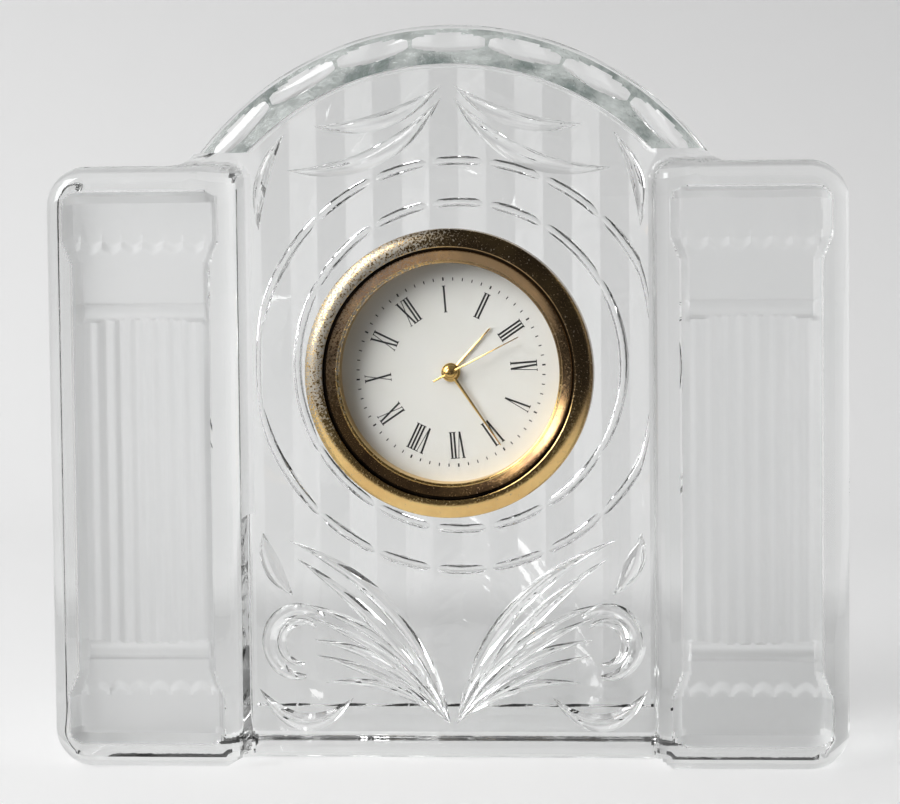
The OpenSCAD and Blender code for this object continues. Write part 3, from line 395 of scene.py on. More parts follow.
# The front is a grid whose lines lie closer where it turns. Below the column's head they are level; above it
# they draw together towards the outline, and in the corners of the block they follow its round.
side_lines = np.concatenate([
    np.linspace(0, 24, 27), WALL - FILLET_OUT[::-1],
    WALL + np.array([0, 0.06, 0.2, 0.45, 0.8, 1.3, 1.8, 2.0, 2.15, 2.35, 2.55, 2.7, 2.9]),
    PILLAR_X + np.linspace(-COLUMN, COLUMN, 73),
    HALF - np.array([3.0, 2.8, 2.6, 2.4, 2.2, 2.0, 1.8, 1.5, 1.1, 0.75, 0.45, 0.22, 0.08, 0])])
x_lines = np.concatenate([-side_lines[:0:-1], side_lines])
z_lines = np.concatenate([
    [0, 0.1, 0.3, 0.6, 1, 1.5, 2.1, 2.7, 3, 3.15, 3.3, 3.45, 3.6, 4.2, 5, 6, 7, 8, 9, 9.5],
    np.arange(9.7, 11.9, 0.15), [12.4, 13, 13.5], np.linspace(13.6, 16, 11), [16.3, 17],
    np.linspace(19, 53, 12), [55, 55.8], np.linspace(56.1, 58.5, 11), [58.7, 59.5, 61, 62.5],
    np.arange(63.6, 66.2, 0.15), [67, 68, 69.5, 71, 71.9, 72.05, 72.2, 72.4, COLUMN_HEAD],
    SHOULDER + np.array([-2.6, -2, -1.4, -0.9, -0.45, -0.15, 0, 0.08, 0.2, 0.45, 0.8, 1.3]),
    np.linspace(78, ARCH_TOP, 12)])
CORNER_LOW, CORNER_HIGH, TIGHTEST = 6.0, 69.0, 0.35
X, Z = np.meshgrid(x_lines, z_lines, indexing="ij")
top, bottom = outline_top(X), outline_bottom(X)
share = np.maximum(Z - COLUMN_HEAD, 0) / (ARCH_TOP - COLUMN_HEAD)
power = np.clip(np.log((SHOULDER - COLUMN_HEAD) / np.maximum(top - COLUMN_HEAD, 1e-3))
                / math.log((SHOULDER - COLUMN_HEAD) / (ARCH_TOP - COLUMN_HEAD)), TIGHTEST, 1)
heights = np.where(Z > COLUMN_HEAD, COLUMN_HEAD + (top - COLUMN_HEAD) * share ** power, Z)
in_corner = abs(X) > HALF - CORNER
heights = np.where(in_corner & (Z < CORNER_LOW), bottom + Z / CORNER_LOW * (CORNER_LOW - bottom), heights)
risen = np.where(Z > COLUMN_HEAD, COLUMN_HEAD - CORNER_HIGH + (SHOULDER - COLUMN_HEAD) * share ** TIGHTEST,
                 Z - CORNER_HIGH) / (SHOULDER - CORNER_HIGH)
heights = np.where(in_corner & (Z > CORNER_HIGH), CORNER_HIGH + risen * (top - CORNER_HIGH), heights)
nx, nz = X.shape
index = np.arange(nx * nz).reshape(nx, nz)
front_points = np.stack([X, front_face(X, heights), heights], -1).reshape(-1, 3)

# The side wall runs back from the edge of the front and rounds into the back, which stands a millimetre too
# far out until the pleats are cut
SIDE_LEVELS, SPARE_BACK = (-2.0, 6.0), 1.0
loop = np.concatenate([index[:-1, 0], index[-1, :-1], index[:0:-1, -1], index[0, :0:-1]])
edge = front_points[loop]
along = np.roll(edge, -1, 0)[:, [0, 2]] - np.roll(edge, 1, 0)[:, [0, 2]]
along /= np.linalg.norm(along, axis=1)[:, None]
inward = np.column_stack([-along[:, 1], along[:, 0]])
sweep = np.radians(np.linspace(0, 90, 9))
walls = [(0.0, y) for y in SIDE_LEVELS]
walls += [(BACK_ROUND * (1 - math.cos(a)), BACK - BACK_ROUND + BACK_ROUND * math.sin(a)) for a in sweep]
walls += [(BACK_ROUND, BACK + SPARE_BACK)]
wall_points = [np.column_stack([edge[:, 0] + inset * inward[:, 0], np.full(len(edge), y),
                                edge[:, 2] + inset * inward[:, 1]]) for inset, y in walls]
count, start = len(loop), len(front_points)
rows = [loop] + [start + k * count + np.arange(count) for k in range(len(walls))]
side_quads = [np.stack([a, np.roll(a, -1), np.roll(b, -1), b], -1) for a, b in zip(rows[:-1], rows[1:])]
faces = grid_faces(nx, nz).tolist() + np.concatenate(side_quads).tolist() + [rows[-1].tolist()]
crystal = make_object("crystal", np.vstack([front_points] + wall_points) * MM, faces)


tools = []


def cutter(name, points, faces):
    """A closed solid, given in millimetres, that is taken from the crystal or added to it."""
    made = make_object(name, np.asarray(points).reshape(-1, 3) * MM, faces)
    tools.append(made)
    return made


def combine(base, tool, operation):
    """Boolean of two closed solids."""
    step = base.modifiers.new(tool.name, "BOOLEAN")
    step.object, step.operation, step.solver = tool, operation, "MANIFOLD"


def capped(rows, columns):
    """Faces of a closed bar: a grid whose columns go round it, and its first and last row as end faces."""
    ends = [list(range(columns)), list(range((rows - 1) * columns, rows * columns))]
    return grid_faces(rows, columns, False, True).tolist() + ends


def turned(name, radii, depths, axis_z):
    """A closed ring: at even angles round a level axis stand points at these radii, and at the depths of that
    angle's row."""
    angle = np.linspace(0, 2 * math.pi, len(depths), endpoint=False)[:, None]
    points = np.stack([radii * np.cos(angle), depths, axis_z + radii * np.sin(angle)], -1)
    return cutter(name, points, grid_faces(len(depths), len(radii), True, True))


# Pleats: a zigzag cut across the back of the panel above a plain foot, ridge and valley every half pitch; the
# pillars' backs stay plain. The cutters reach well past the block.
CUT_X, CUT_BACK, CUT_FRONT, CUT_LOW, CUT_HIGH = 60, 30, -20, -20, 120
PLEAT, VALLEY, LAST_RIDGE, PLAIN_FOOT, PLEAT_FOOT = 7.4, 14.7, 8, 4.2, 4.6
k = np.arange(-16, 17)
plain, zigzag = BACK + 0 * k, np.where((k % 2 == 0) | (abs(k) > LAST_RIDGE), BACK, VALLEY)
levels = [np.vstack([np.column_stack([k * PLEAT / 2, y, z + 0 * k]),
                     [[CUT_X, CUT_BACK, z], [-CUT_X, CUT_BACK, z]]])
          for z, y in ((CUT_LOW, plain), (PLAIN_FOOT, plain), (PLEAT_FOOT, zigzag), (CUT_HIGH, zigzag))]
combine(crystal, cutter("pleats", np.vstack(levels), capped(len(levels), len(levels[0]))), "DIFFERENCE")

# Two rings, each cut by a round-nosed wheel that bites deeper at the two sides than at the top and the foot
RINGS, RING_HALF, RING_BITE, RING_DEEPER = (21.4, 26.8), 0.55, 1.17, 0.3
RING_FLARE, RING_BACK, RING_STEPS = 0.5, 18.4, 240
nose = np.radians(np.linspace(180, 360, 13))
across = np.concatenate([[-RING_HALF - RING_FLARE], RING_HALF * np.cos(nose), [RING_HALF + RING_FLARE]])
angle = np.linspace(0, 2 * math.pi, RING_STEPS, endpoint=False)[:, None]
nose_y = BACK - RING_BITE - RING_DEEPER * abs(np.cos(angle)) ** 3 + RING_HALF + RING_HALF * np.sin(nose)
outside = np.full((RING_STEPS, 1), RING_BACK)
for number, r in enumerate(RINGS):
    ring_cut = turned(f"ring_{number}", r + across, np.hstack([outside, nose_y, outside]), CLOCK_Z)
    combine(crystal, ring_cut, "DIFFERENCE")

# Hole for the insert: blind, with a chamfer at its end and a flare at its mouth
HOLE_R, HOLE_END, HOLE_CHAMFER, MOUTH_FLARE, HOLE_STEPS = 17.6, 6.8, 0.3, 0.25, 180
hole_r, hole_y = np.array([
    (0.01, HOLE_END), (HOLE_R - HOLE_CHAMFER, HOLE_END), (HOLE_R, HOLE_END - HOLE_CHAMFER),
    (HOLE_R, PANEL + 0.2), (HOLE_R + MOUTH_FLARE, PANEL - 0.1), (HOLE_R + MOUTH_FLARE, CUT_FRONT),
    (0.01, CUT_FRONT)]).T
combine(crystal, turned("hole", hole_r, np.tile(hole_y, (HOLE_STEPS, 1)), CLOCK_Z), "DIFFERENCE")

# Rim of the arch: a bevel all along it with a rounded outer edge and a fine line inside it, and in the bevel
# seven shallow hollows, end to end. It stops above the blends beside the arch. The line's points are given by
# how far inside the bevel and how deep they are, and a hollow is the side of a long egg by its half sizes.
BEVEL_W, BEVEL_D, RIM_ROUND, RIM_STEPS, PAST_RIM = 5.0, 4.0, 1.3, 360, 4
RIM_LINE = np.array([[0, 0], [0.15, 0.2], [0.4, 0.2], [0.6, -0.02], [1.25, -1.0]])
STEP, SCALLOPS, HOLLOW, HOLLOW_PLACE, EGG = 14.6, 7, 0.5, 0.55, np.array([16, 4.2, 6])
RIM_FOOT = ARCH_Z + (SHOULDER + BLEND - ARCH_Z) * ARCH_R / (ARCH_R + BLEND) + 0.2
slant = math.atan2(BEVEL_D, BEVEL_W)
turn_y = PANEL + BEVEL_D + RIM_ROUND * (1 / math.cos(slant) - math.tan(slant))
sweep = np.linspace(math.pi / 2, slant, 10)
rim_r, rim_y = np.vstack([
    [[ARCH_R + PAST_RIM, turn_y + 1], [ARCH_R + 0.02, turn_y + 1]],
    np.column_stack([ARCH_R - RIM_ROUND + RIM_ROUND * np.sin(sweep), turn_y - RIM_ROUND * np.cos(sweep)]),
    [ARCH_R - BEVEL_W, PANEL] + RIM_LINE * [-1, 1], [[ARCH_R + PAST_RIM, PANEL + RIM_LINE[-1, 1]]]]).T
rim_cut = turned("rim", rim_r, np.tile(rim_y, (RIM_STEPS, 1)), ARCH_Z)
polar, around = np.meshgrid(np.linspace(0, math.pi, 33), np.linspace(0, 2 * math.pi, 97)[:-1], indexing="ij")
egg = EGG * np.stack([np.cos(polar), np.sin(polar) * np.cos(around), np.sin(polar) * np.sin(around)], -1)
for number in range(SCALLOPS):
    swing = math.radians((number - (SCALLOPS - 1) / 2) * STEP)
    along_rim = np.array([math.cos(swing), 0, -math.sin(swing)])
    outwards = np.array([math.sin(swing), 0, math.cos(swing)])
    up_slope = math.cos(slant) * outwards + np.array([0, math.sin(slant), 0])
    normal = math.sin(slant) * outwards - np.array([0, math.cos(slant), 0])
    centre = np.array([0, PANEL, ARCH_Z]) + (ARCH_R - BEVEL_W) * outwards
    centre = centre + HOLLOW_PLACE * math.hypot(BEVEL_W, BEVEL_D) * up_slope + (EGG[2] - HOLLOW) * normal
    hollow = centre + egg @ np.array([along_rim, up_slope, normal])
    combine(rim_cut, cutter(f"hollow_{number}", hollow, grid_faces(*polar.shape, False, True)), "UNION")
over_shoulder = [[x, y, z] for z in (RIM_FOOT, CUT_HIGH)
                 for x, y in ((-CUT_X, CUT_FRONT), (CUT_X, CUT_FRONT), (CUT_X, CUT_BACK), (-CUT_X, CUT_BACK))]
combine(rim_cut, cutter("over_shoulder", over_shoulder, capped(2, 4)), "INTERSECT")
combine(crystal, rim_cut, "DIFFERENCE")

# Leaves: blades with a rounded back. Each has two tips, two bows, which say how far its edges arch over the
# line from tip to tip, and a rise over the panel. A curl and a smaller one inside it end each spray.
ROOT, SWAG = np.array([-0.4, 4.5]), np.array([-0.8, 85.4])
LEAVES = [
    ((-20.8, 27.9), ROOT, 4.9, 2.9, 1.0), ((-19.8, 25.6), ROOT, 2.6, 0.9, 0.9),
    ((-19.4, 19.9), ROOT, 3.5, 2.1, 1.0), ((-18.6, 18.2), ROOT, 2.4, 1.2, 0.8),
    ((-17.7, 15.2), ROOT, 2.9, 1.5, 0.8), ((-17.4, 13.2), ROOT, 1.9, 0.6, 0.9),
    ((-16.3, 9.7), ROOT, 2.5, 1.3, 0.7), ((-12.7, 7.8), (-24.8, 8.9), 4.9, 2.6, 1.0),
    ((-20.4, 20.9), (-24.1, 28.9), 2.0, -0.4, 1.1), (SWAG + [-16.2, -5], SWAG, -3.0, -0.9, 0.8),
    (SWAG + [-19.7, -10.5], SWAG - [0, 1.5], -4.4, -2.0, 0.8),
    (SWAG + [-23.3, -18], SWAG + [-20.0, -6.0], 2.1, 0.4, 1.6)]
CURL_CENTRE, CURL_SWEEP, CURLS, CURL_RISE = np.array([-19.2, 14.8]), (50, 275), ((4.35, 1.0), (2.7, 0.6)), 1.0
ROOT_DEPTH = 0.5


def blade(name, centre, side, half_width, rise, mirrored):
    """A closed blade: at each point of the centre line stands an oval across it, as high over the panel as
    the square of a sine and half a millimetre deep in it, and thinner where the blade narrows to its tips."""
    angle = np.linspace(0, 2 * math.pi, 28, endpoint=False)
    across, lift = np.cos(angle), np.sin(angle)
    lift = np.where(lift > 0, rise * lift ** 2, ROOT_DEPTH * lift)
    x = centre[:, :1] + side[:, :1] * half_width[:, None] * across
    z = centre[:, 1:] + side[:, 1:] * half_width[:, None] * across
    thin = np.sqrt(np.clip(half_width / half_width.max() * 3, 0, 1))[:, None]
    points = np.stack([-x if mirrored else x, PANEL - lift[None, :] * thin, z], -1)
    return cutter(name, points, capped(len(centre), len(angle)))


for mirrored in (False, True):
    for number, (a, b, outer, inner, rise) in enumerate(LEAVES):
        a, b = np.array(a), np.array(b)
        t = np.linspace(0.004, 0.996, 48)[:, None]
        chord = b - a
        left = np.array([-chord[1], chord[0]]) / np.linalg.norm(chord)
        bow = 4 * t * (1 - t)
        centre = a + chord * t + left * (outer + inner) / 2 * bow
        slope = chord + left * (outer + inner) / 2 * 4 * (1 - 2 * t)
        slope /= np.linalg.norm(slope, axis=1)[:, None]
        side = np.column_stack([-slope[:, 1], slope[:, 0]])
        half_width = abs(outer - inner) / 2 * bow[:, 0]
        leaf = blade(f"leaf_{number}_{int(mirrored)}", centre, side, half_width, rise, mirrored)
        combine(crystal, leaf, "UNION")
    turn = np.radians(np.linspace(*CURL_SWEEP, 40))
    spoke = np.column_stack([np.cos(turn), np.sin(turn)])
    for number, (reach, half) in enumerate(CURLS):
        half_width = half * np.sqrt(np.clip(np.sin(math.pi * np.linspace(0.02, 0.98, 40)), 0, 1))
        centre = CURL_CENTRE + reach * spoke
        curl = blade(f"curl_{number}_{int(mirrored)}", centre, spoke, half_width, CURL_RISE, mirrored)
        combine(crystal, curl, "UNION")

# The cuts and the relief are worked in, and faces that bend by more than 12 degrees meet in a sharp edge
bpy.context.view_layer.update()
graph = bpy.context.evaluated_depsgraph_get()
pressed = bpy.data.meshes.new_from_object(crystal.evaluated_get(graph))
crystal.modifiers.clear()
crystal.data = pressed
for tool in tools:
    bpy.data.objects.remove(tool)
smooth(pressed, 12)

# Glass: clear, frosted in the columns and on the left pillar's inner wall, and wavy on the bevel of the rim,
# where a dark mottled tint is painted shade.
# Large level faces of the back are shaded flat.
CRYSTAL_IOR, BACK_FROM, LARGE_FACE, LEAST_SUNK, COLUMN_FRONT, SLOPE_MISS = 1.54, 14.5, 1e-6, 0.12, -11, 0.05
FROST_FROM, FROST_FRONT, WALL_INSIDE, WALL_OUTSIDE = 30, -13.9, 0.15, 0.9
clear = finish("clear_crystal", grained, ((0.985, 0.99, 0.987), (0.955, 0.965, 0.96)), 60, 240, (0.0, 0.01),
               0, 0.00002, Transmission_Weight=1.0, IOR=CRYSTAL_IOR)
frosted = finish("frosted_crystal", grained, ((0.97, 0.975, 0.975), (0.93, 0.94, 0.94)), 90, 2500,
                 (0.42, 0.56), 0, 0.00001, Transmission_Weight=1.0, IOR=CRYSTAL_IOR)
# The bevel's dark grey-green mottled tint is painted shade; its bump is the glass's real waviness.
wavy_rim_painted_shade = finish("wavy_crystal_painted_shade", grained, ((0.07, 0.10, 0.09), (0.55, 0.61, 0.58)), 170, 560, (0.0, 0.08), 0,
              0.0016, Transmission_Weight=1.0, IOR=CRYSTAL_IOR)
for kind, shade in ((clear, 0.3), (frosted, 0.35), (wavy_rim_painted_shade, 0.3)):
    clear_to_light(kind, shade)
middle, facing, area = (np.zeros(len(pressed.polygons) * size) for size in (3, 3, 1))
for name, values in (("center", middle), ("normal", facing), ("area", area)):
    pressed.polygons.foreach_get(name, values)
x, y, z = middle.reshape(-1, 3).T / MM
flat_back = (y > BACK_FROM) & (abs(facing[1::3]) > 0.9) & (area > LARGE_FACE)
pressed.polygons.foreach_set("use_smooth", ~flat_back)
radius = np.hypot(x, z - ARCH_Z)
off_slope = abs(y - PANEL - (radius - ARCH_R + BEVEL_W) * BEVEL_D / BEVEL_W)
on_slope = (radius > ARCH_R - BEVEL_W + 0.4) & (radius < ARCH_R - RIM_ROUND / 2) & (off_slope < SLOPE_MISS)
on_slope &= z > RIM_FOOT
sunk = (column_depth(x, z) > LEAST_SUNK) & (abs(abs(x) - PILLAR_X) < CAPITAL) & (y < COLUMN_FRONT)
left_wall = (x > -WALL - WALL_INSIDE) & (x < -WALL + WALL_OUTSIDE) & (z > FROST_FROM)
left_wall &= (y > FROST_FRONT) & (y < PANEL - 0.04)
pressed.materials.clear()
for kind in (clear, frosted, wavy_rim_painted_shade):
    pressed.materials.append(kind)
pressed.polygons.foreach_set("material_index", sunk + 2 * on_slope + (left_wall & ~sunk & ~on_slope))
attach(crystal, "block")
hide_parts("crystal_block")


# Bezel. Brass, stamped, turned and gold plated, and pressed on the cup of the insert: a half-round ring whose
# gold is rubbed to silver at the upper left, partly as wear and partly as a painted highlight, a groove
# painted dark as shade, a cone that falls inwards with its gold painted darker as shade, and a beaded lip
# that holds the lens.
# The insert is turned 34.3 degrees anticlockwise in its hole, as in the photograph.
TURN = math.radians(34.3)
DOME_R, DOME_TOP, DOME_MIDDLE, DOME_FROM, DOME_TO, RIM_EDGE = 2.72, 3.14, 16.36, -8, 40, 0.22
GROOVE_IN, GROOVE_OUT, CONE_IN, FACE_LEVEL = 15.54, 15.91, 14.3, 1.6
BEZEL_FOOT = [[17.45, 0], [18.2, 0], [18.25, 0.05], [18.25, 0.9]]
GROOVE_AND_CONE = [[15.93, 3.08], [15.9, 3.0], [15.9, 1.84], [15.84, 1.76], [15.66, 1.76], [15.6, 1.82],
                   [15.56, 2.42], [15.48, 2.5], [15.3, 2.46], [14.8, 2.27], [14.34, 2.1], [14.26, 2.0]]
LIP = [[14.2, 1.9], [14.16, 1.88], [14.08, 1.88], [13.98, 1.83], [13.92, 1.74], [13.9, 1.66], [13.9, 1.5],
       [14.95, 1.5], [14.95, 0.8], [17.45, 0.8]]


def in_insert(x, y, z):
    """Points of the insert's own frame, with x to three o'clock, y to twelve and z forward from the panel, in
    the clock's frame: turned about the axis of the hole."""
    return np.stack([x * math.cos(TURN) - y * math.sin(TURN), PANEL - z + 0 * x,
                     CLOCK_Z + x * math.sin(TURN) + y * math.cos(TURN)], -1)


def revolved(name, profile, steps):
    """A closed profile of (radius, level) carried round the insert's axis."""
    angle = np.linspace(0, 2 * math.pi, steps, endpoint=False)[:, None]
    r, level = np.asarray(profile, float).T
    points = in_insert(r * np.cos(angle), r * np.sin(angle), level + 0 * angle)
    made = make_object(name, points * MM, grid_faces(steps, len(r), True, True))
    smooth(made.data, 30)
    return made


def plating_wear_and_painted_light(tree, given):
    """Gold that has rubbed through to silver in specks on the upper left, the side the key light falls on:
    partly wear and partly a painted highlight. The mask falls off with the direction from the axis, and a
    fine grain breaks it up. A coarse grain mixes two golds, and painted shade darkens them in soft clouds at
    the upper right, the side turned from the light. The roughness follows the rubbed silver and the grain."""
    split = tree.nodes.new("ShaderNodeSeparateXYZ")
    feed(tree, split.inputs[0], given["Vector"])
    up = sums(tree, "SUBTRACT", split.outputs["Z"], CLOCK_Z * MM)
    left = sums(tree, "MULTIPLY_ADD", split.outputs["X"], -0.85, sums(tree, "MULTIPLY", up, 0.52))
    right = sums(tree, "MULTIPLY_ADD", split.outputs["X"], 0.75, sums(tree, "MULTIPLY", up, 0.66))
    speck = noise(tree, given["Vector"], given["Fine"], 3.0, 0.7)
    cloud = noise(tree, given["Vector"], given["Coarse"])
    # Partly wear, partly a painted highlight: silver specks on the upper left
    rub_and_glint_mask = sums(tree, "MULTIPLY_ADD", between(tree, left, 0.005, 0.015), 0.22, speck)
    rubbed_and_painted_glint = sums(tree, "MULTIPLY", between(tree, rub_and_glint_mask, 0.62, 0.74), given["Wear"])
    gold = blended(tree, between(tree, cloud, 0.35, 0.7), given["Colour"], given["Other"])
    clouded = between(tree, cloud, 0.2, 0.6, 0.5, 0.95)
    # Painted shade: the gold darkens towards the upper right
    painted_shade_upper_right = sums(tree, "MULTIPLY", between(tree, right, 0.003, 0.013), clouded)
    gold = blended(tree, painted_shade_upper_right, gold, (0.24, 0.16, 0.085, 1))
    colour = blended(tree, rubbed_and_painted_glint, gold, (0.42, 0.395, 0.35, 1))
    rough = sums(tree, "MULTIPLY_ADD", rubbed_and_painted_glint, 0.4, between(tree, speck, 0.3, 0.8, 0.14, 0.28))
    return colour, rough, speck


plating = node_group("plating_wear_and_painted_light", ["Coarse", "Fine", "Wear"], plating_wear_and_painted_light)


def gold_finish(name, colour, tarnish, wear):
    """Gold plate over steel: the plating group, with its colours and its share of rubbed silver, which is
    wear and a painted highlight; every such gold also carries the painted shade at the upper right.
    """
    return dressed(name, plating, 0.00001, 0.5, {"Metallic": 1}, Colour=(*colour, 1), Other=(*tarnish, 1),
                   Coarse=160, Fine=4200, Wear=wear)


dome_turn = np.radians(np.linspace(DOME_FROM, DOME_TO, 17))
dome = np.column_stack([DOME_MIDDLE + DOME_R * np.sin(dome_turn),
                        DOME_TOP - DOME_R * (1 - np.cos(dome_turn))])
edge_turn = np.radians(np.linspace(DOME_TO, 90, 7))
edge_round = RIM_EDGE * np.column_stack([np.sin(edge_turn), np.cos(edge_turn)])
rim_edge = dome[-1] - edge_round[0] + edge_round[1:]
bezel = revolved("bezel_ring", np.vstack([BEZEL_FOOT, rim_edge[::-1], dome[::-1], GROOVE_AND_CONE, LIP]), 320)
# The ring's gold carries a painted highlight at the upper left; the groove and the cone are painted dark as
# shade.
ring_gold_painted_light = gold_finish("gold_plate_wear_and_painted_light", (0.86, 0.60, 0.25), (0.74, 0.48, 0.19), 1.0)
groove_painted_shade = gold_finish("groove_painted_shade", (0.16, 0.115, 0.075), (0.05, 0.038, 0.03), 0.0)
cone_gold_painted_shade = gold_finish("cone_gold_plate_painted_shade", (0.58, 0.35, 0.155), (0.26, 0.15, 0.085), 0.35)
for kind in (ring_gold_painted_light, groove_painted_shade, cone_gold_painted_shade):
    bezel.data.materials.append(kind)
middle = np.zeros(len(bezel.data.polygons) * 3)
bezel.data.polygons.foreach_get("center", middle)
x, y, z = middle.reshape(-1, 3).T / MM
radius, height = np.hypot(x, z - CLOCK_Z), PANEL - y
in_groove = (radius > GROOVE_IN) & (radius < GROOVE_OUT) & (height > FACE_LEVEL) & (height < 3.0)
on_cone = (radius > CONE_IN) & (radius <= GROOVE_IN) & (height > FACE_LEVEL)
bezel.data.polygons.foreach_set("material_index", in_groove + 2 * on_cone)
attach(bezel, "case")
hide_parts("bezel")

# Reflector ring. A thin band of brass, rolled and polished bright, that stands on the dial and carries the
# lens. It is held between them when the bezel is pressed on.
bright_gold = gold_finish("bright_gold", (0.90, 0.64, 0.27), (0.84, 0.57, 0.22), 0.0)
REFLECTOR = [(13.9, -1.5), (15.45, -1.5), (15.45, 0.45), (15.4, 0.5), (14.14, 0.5), (14.1, 0.46),
             (14.06, 0.2), (13.92, -1.2)]
reflector = revolved("reflector_band", REFLECTOR, 256)
reflector.data.materials.append(bright_gold)
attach(reflector, "case")
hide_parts("reflector_ring")

# Lens. Flat mineral glass, cut round, with ground edges. It lies on the reflector ring under the bezel's lip,
# and lets nearly all light through to the dial.
LENS_R, LENS_LOW, LENS_HIGH, LENS_CHAMFER = 14.5, 0.5, 1.5, 0.1
lens = revolved("lens_disc", [
    (0, LENS_LOW), (LENS_R - LENS_CHAMFER, LENS_LOW), (LENS_R, LENS_LOW + LENS_CHAMFER),
    (LENS_R, LENS_HIGH - LENS_CHAMFER), (LENS_R - LENS_CHAMFER, LENS_HIGH), (0, LENS_HIGH)], 192)
lens_glass = finish("lens_glass", grained, ((0.99, 0.99, 0.985), (0.98, 0.985, 0.98)), 90, 700, (0.0, 0.004),
                    0, 1e-8, Transmission_Weight=1.0, IOR=1.5)
clear_to_light(lens_glass, 0.04)
lens.data.materials.append(lens_glass)
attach(lens, "case")
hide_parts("lens")


# Dial. A thin brass disc, painted off-white, with black Roman numerals that stand on a circle with their tops
# outwards and sixty short ticks, printed as ink a hundredth of a millimetre thick. The disc keeps its CAD
# shape.
DIAL_FACE, INK, SUNK_INK = -1.5, 0.012, 0.002
NUMERALS = ["I", "II", "III", "IV", "V", "VI", "VII", "VIII", "IX", "X", "XI", "XII"]
FOOT_R, TOP_R, THICK, THIN, SERIF, THIN_SERIF = 7.6, 11.0, 0.25, 0.1, 0.2, 0.3
THICK_LEAN, THIN_LEAN = 0.33, 0.34
TICK_R, HOUR_TICK, MINUTE_TICK = 11.62, (0.1, 0.44), (0.065, 0.4)


def stroke(x0, x1, width, low=0.0, high=1.0):
    """A bar from foot to head of a letter, leaning where x0 and x1 differ; its width is measured level."""
    return [(x0 - width / 2, low), (x0 + width / 2, low), (x1 + width / 2, high), (x1 - width / 2, high)]


def serif(x, at, width):
    """A thin level bar that closes a stroke at the foot (0) or the head (1)."""
    part = THIN / (TOP_R - FOOT_R)
    low, high = (0.0, part) if at == 0 else (1 - part, 1.0)
    return stroke(x, x, width, low, high)


def letter(kind):
    """The strokes of one letter, and the room it takes."""
    wide = THICK + SERIF
    if kind == "I":
        return [stroke(0, 0, THICK), serif(0, 0, wide), serif(0, 1, wide)], 0.43
    tops = [serif(-THICK_LEAN, 1, wide), serif(THIN_LEAN, 1, THIN_SERIF)]
    if kind == "V":
        return [stroke(0, -THICK_LEAN, THICK), stroke(0.04, THIN_LEAN, THIN), *tops], 0.98
    feet = [serif(THICK_LEAN, 0, wide), serif(-THIN_LEAN, 0, THIN_SERIF)]
    return [stroke(THICK_LEAN, -THICK_LEAN, THICK), stroke(-THIN_LEAN, THIN_LEAN, THIN), *feet, *tops], 1.0


def on_bearing(x, r, bearing):
    """Points at x across and r outwards on a clock bearing, in the dial's plane."""
    return np.column_stack([x * math.cos(bearing) + r * math.sin(bearing),
                            r * math.cos(bearing) - x * math.sin(bearing)])


corners = []
for number, numeral in enumerate(NUMERALS, start=1):
    parts = [letter(kind) for kind in numeral]
    pen = -sum(room for _, room in parts) / 2
    for strokes, room in parts:
        for shape in strokes:
            x, h = np.array(shape).T
            r = FOOT_R + h * (TOP_R - FOOT_R)
            corners.append(on_bearing(x + pen + room / 2, r, math.radians(30 * number)))
        pen += room
for number in range(60):
    half, length = MINUTE_TICK if number % 5 else HOUR_TICK
    x, r = np.array([[-half, 0], [half, 0], [half, length], [-half, length]]).T
    corners.append(on_bearing(x, TICK_R + r, math.radians(6 * number)))
flat = np.array(corners)[:, None]
level = np.array([DIAL_FACE - SUNK_INK, DIAL_FACE + INK])[None, :, None]
ink_points = in_insert(flat[..., 0] + 0 * level, flat[..., 1] + 0 * level, level + 0 * flat[..., 0])
box = np.array([[3, 2, 1, 0], [4, 5, 6, 7], [0, 1, 5, 4], [1, 2, 6, 5], [2, 3, 7, 6], [3, 0, 4, 7]])
numerals = make_object("dial_print", ink_points * MM,
                       (8 * np.arange(len(flat))[:, None, None] + box).reshape(-1, 4))
ink = finish("printing_ink", grained, ((0.012, 0.012, 0.013), (0.03, 0.03, 0.03)), 900, 9000, (0.35, 0.55))
numerals.data.materials.append(ink)
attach(numerals, "case")


def wear(material, *names):
    """Parts whose CAD shape stays as it is get their finish."""
    for name in names:
        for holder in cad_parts[name].material_slots:
            holder.material = material


dial_paint = finish("dial_paint", grained, ((0.77, 0.765, 0.735), (0.745, 0.74, 0.70)), 120, 6000,
                    (0.4, 0.55), 0, 0.000003)
wear(dial_paint, "dial")


# Hands. Three thin brass hands, etched and gilt, each with a low ridge along it. The round hub of each is
# pressed on its pipe or post: the hour wheel's, the cannon pinion's and the seconds wheel's.
TIP_LENGTH, HUB_EDGE, HAND_STEPS, TAIL_STEPS, HUB_STEPS = 0.25, 0.03, 14, 6, 64
hand_gold = gold_finish("hand_gilt", (0.88, 0.62, 0.24), (0.80, 0.52, 0.17), 0.0)


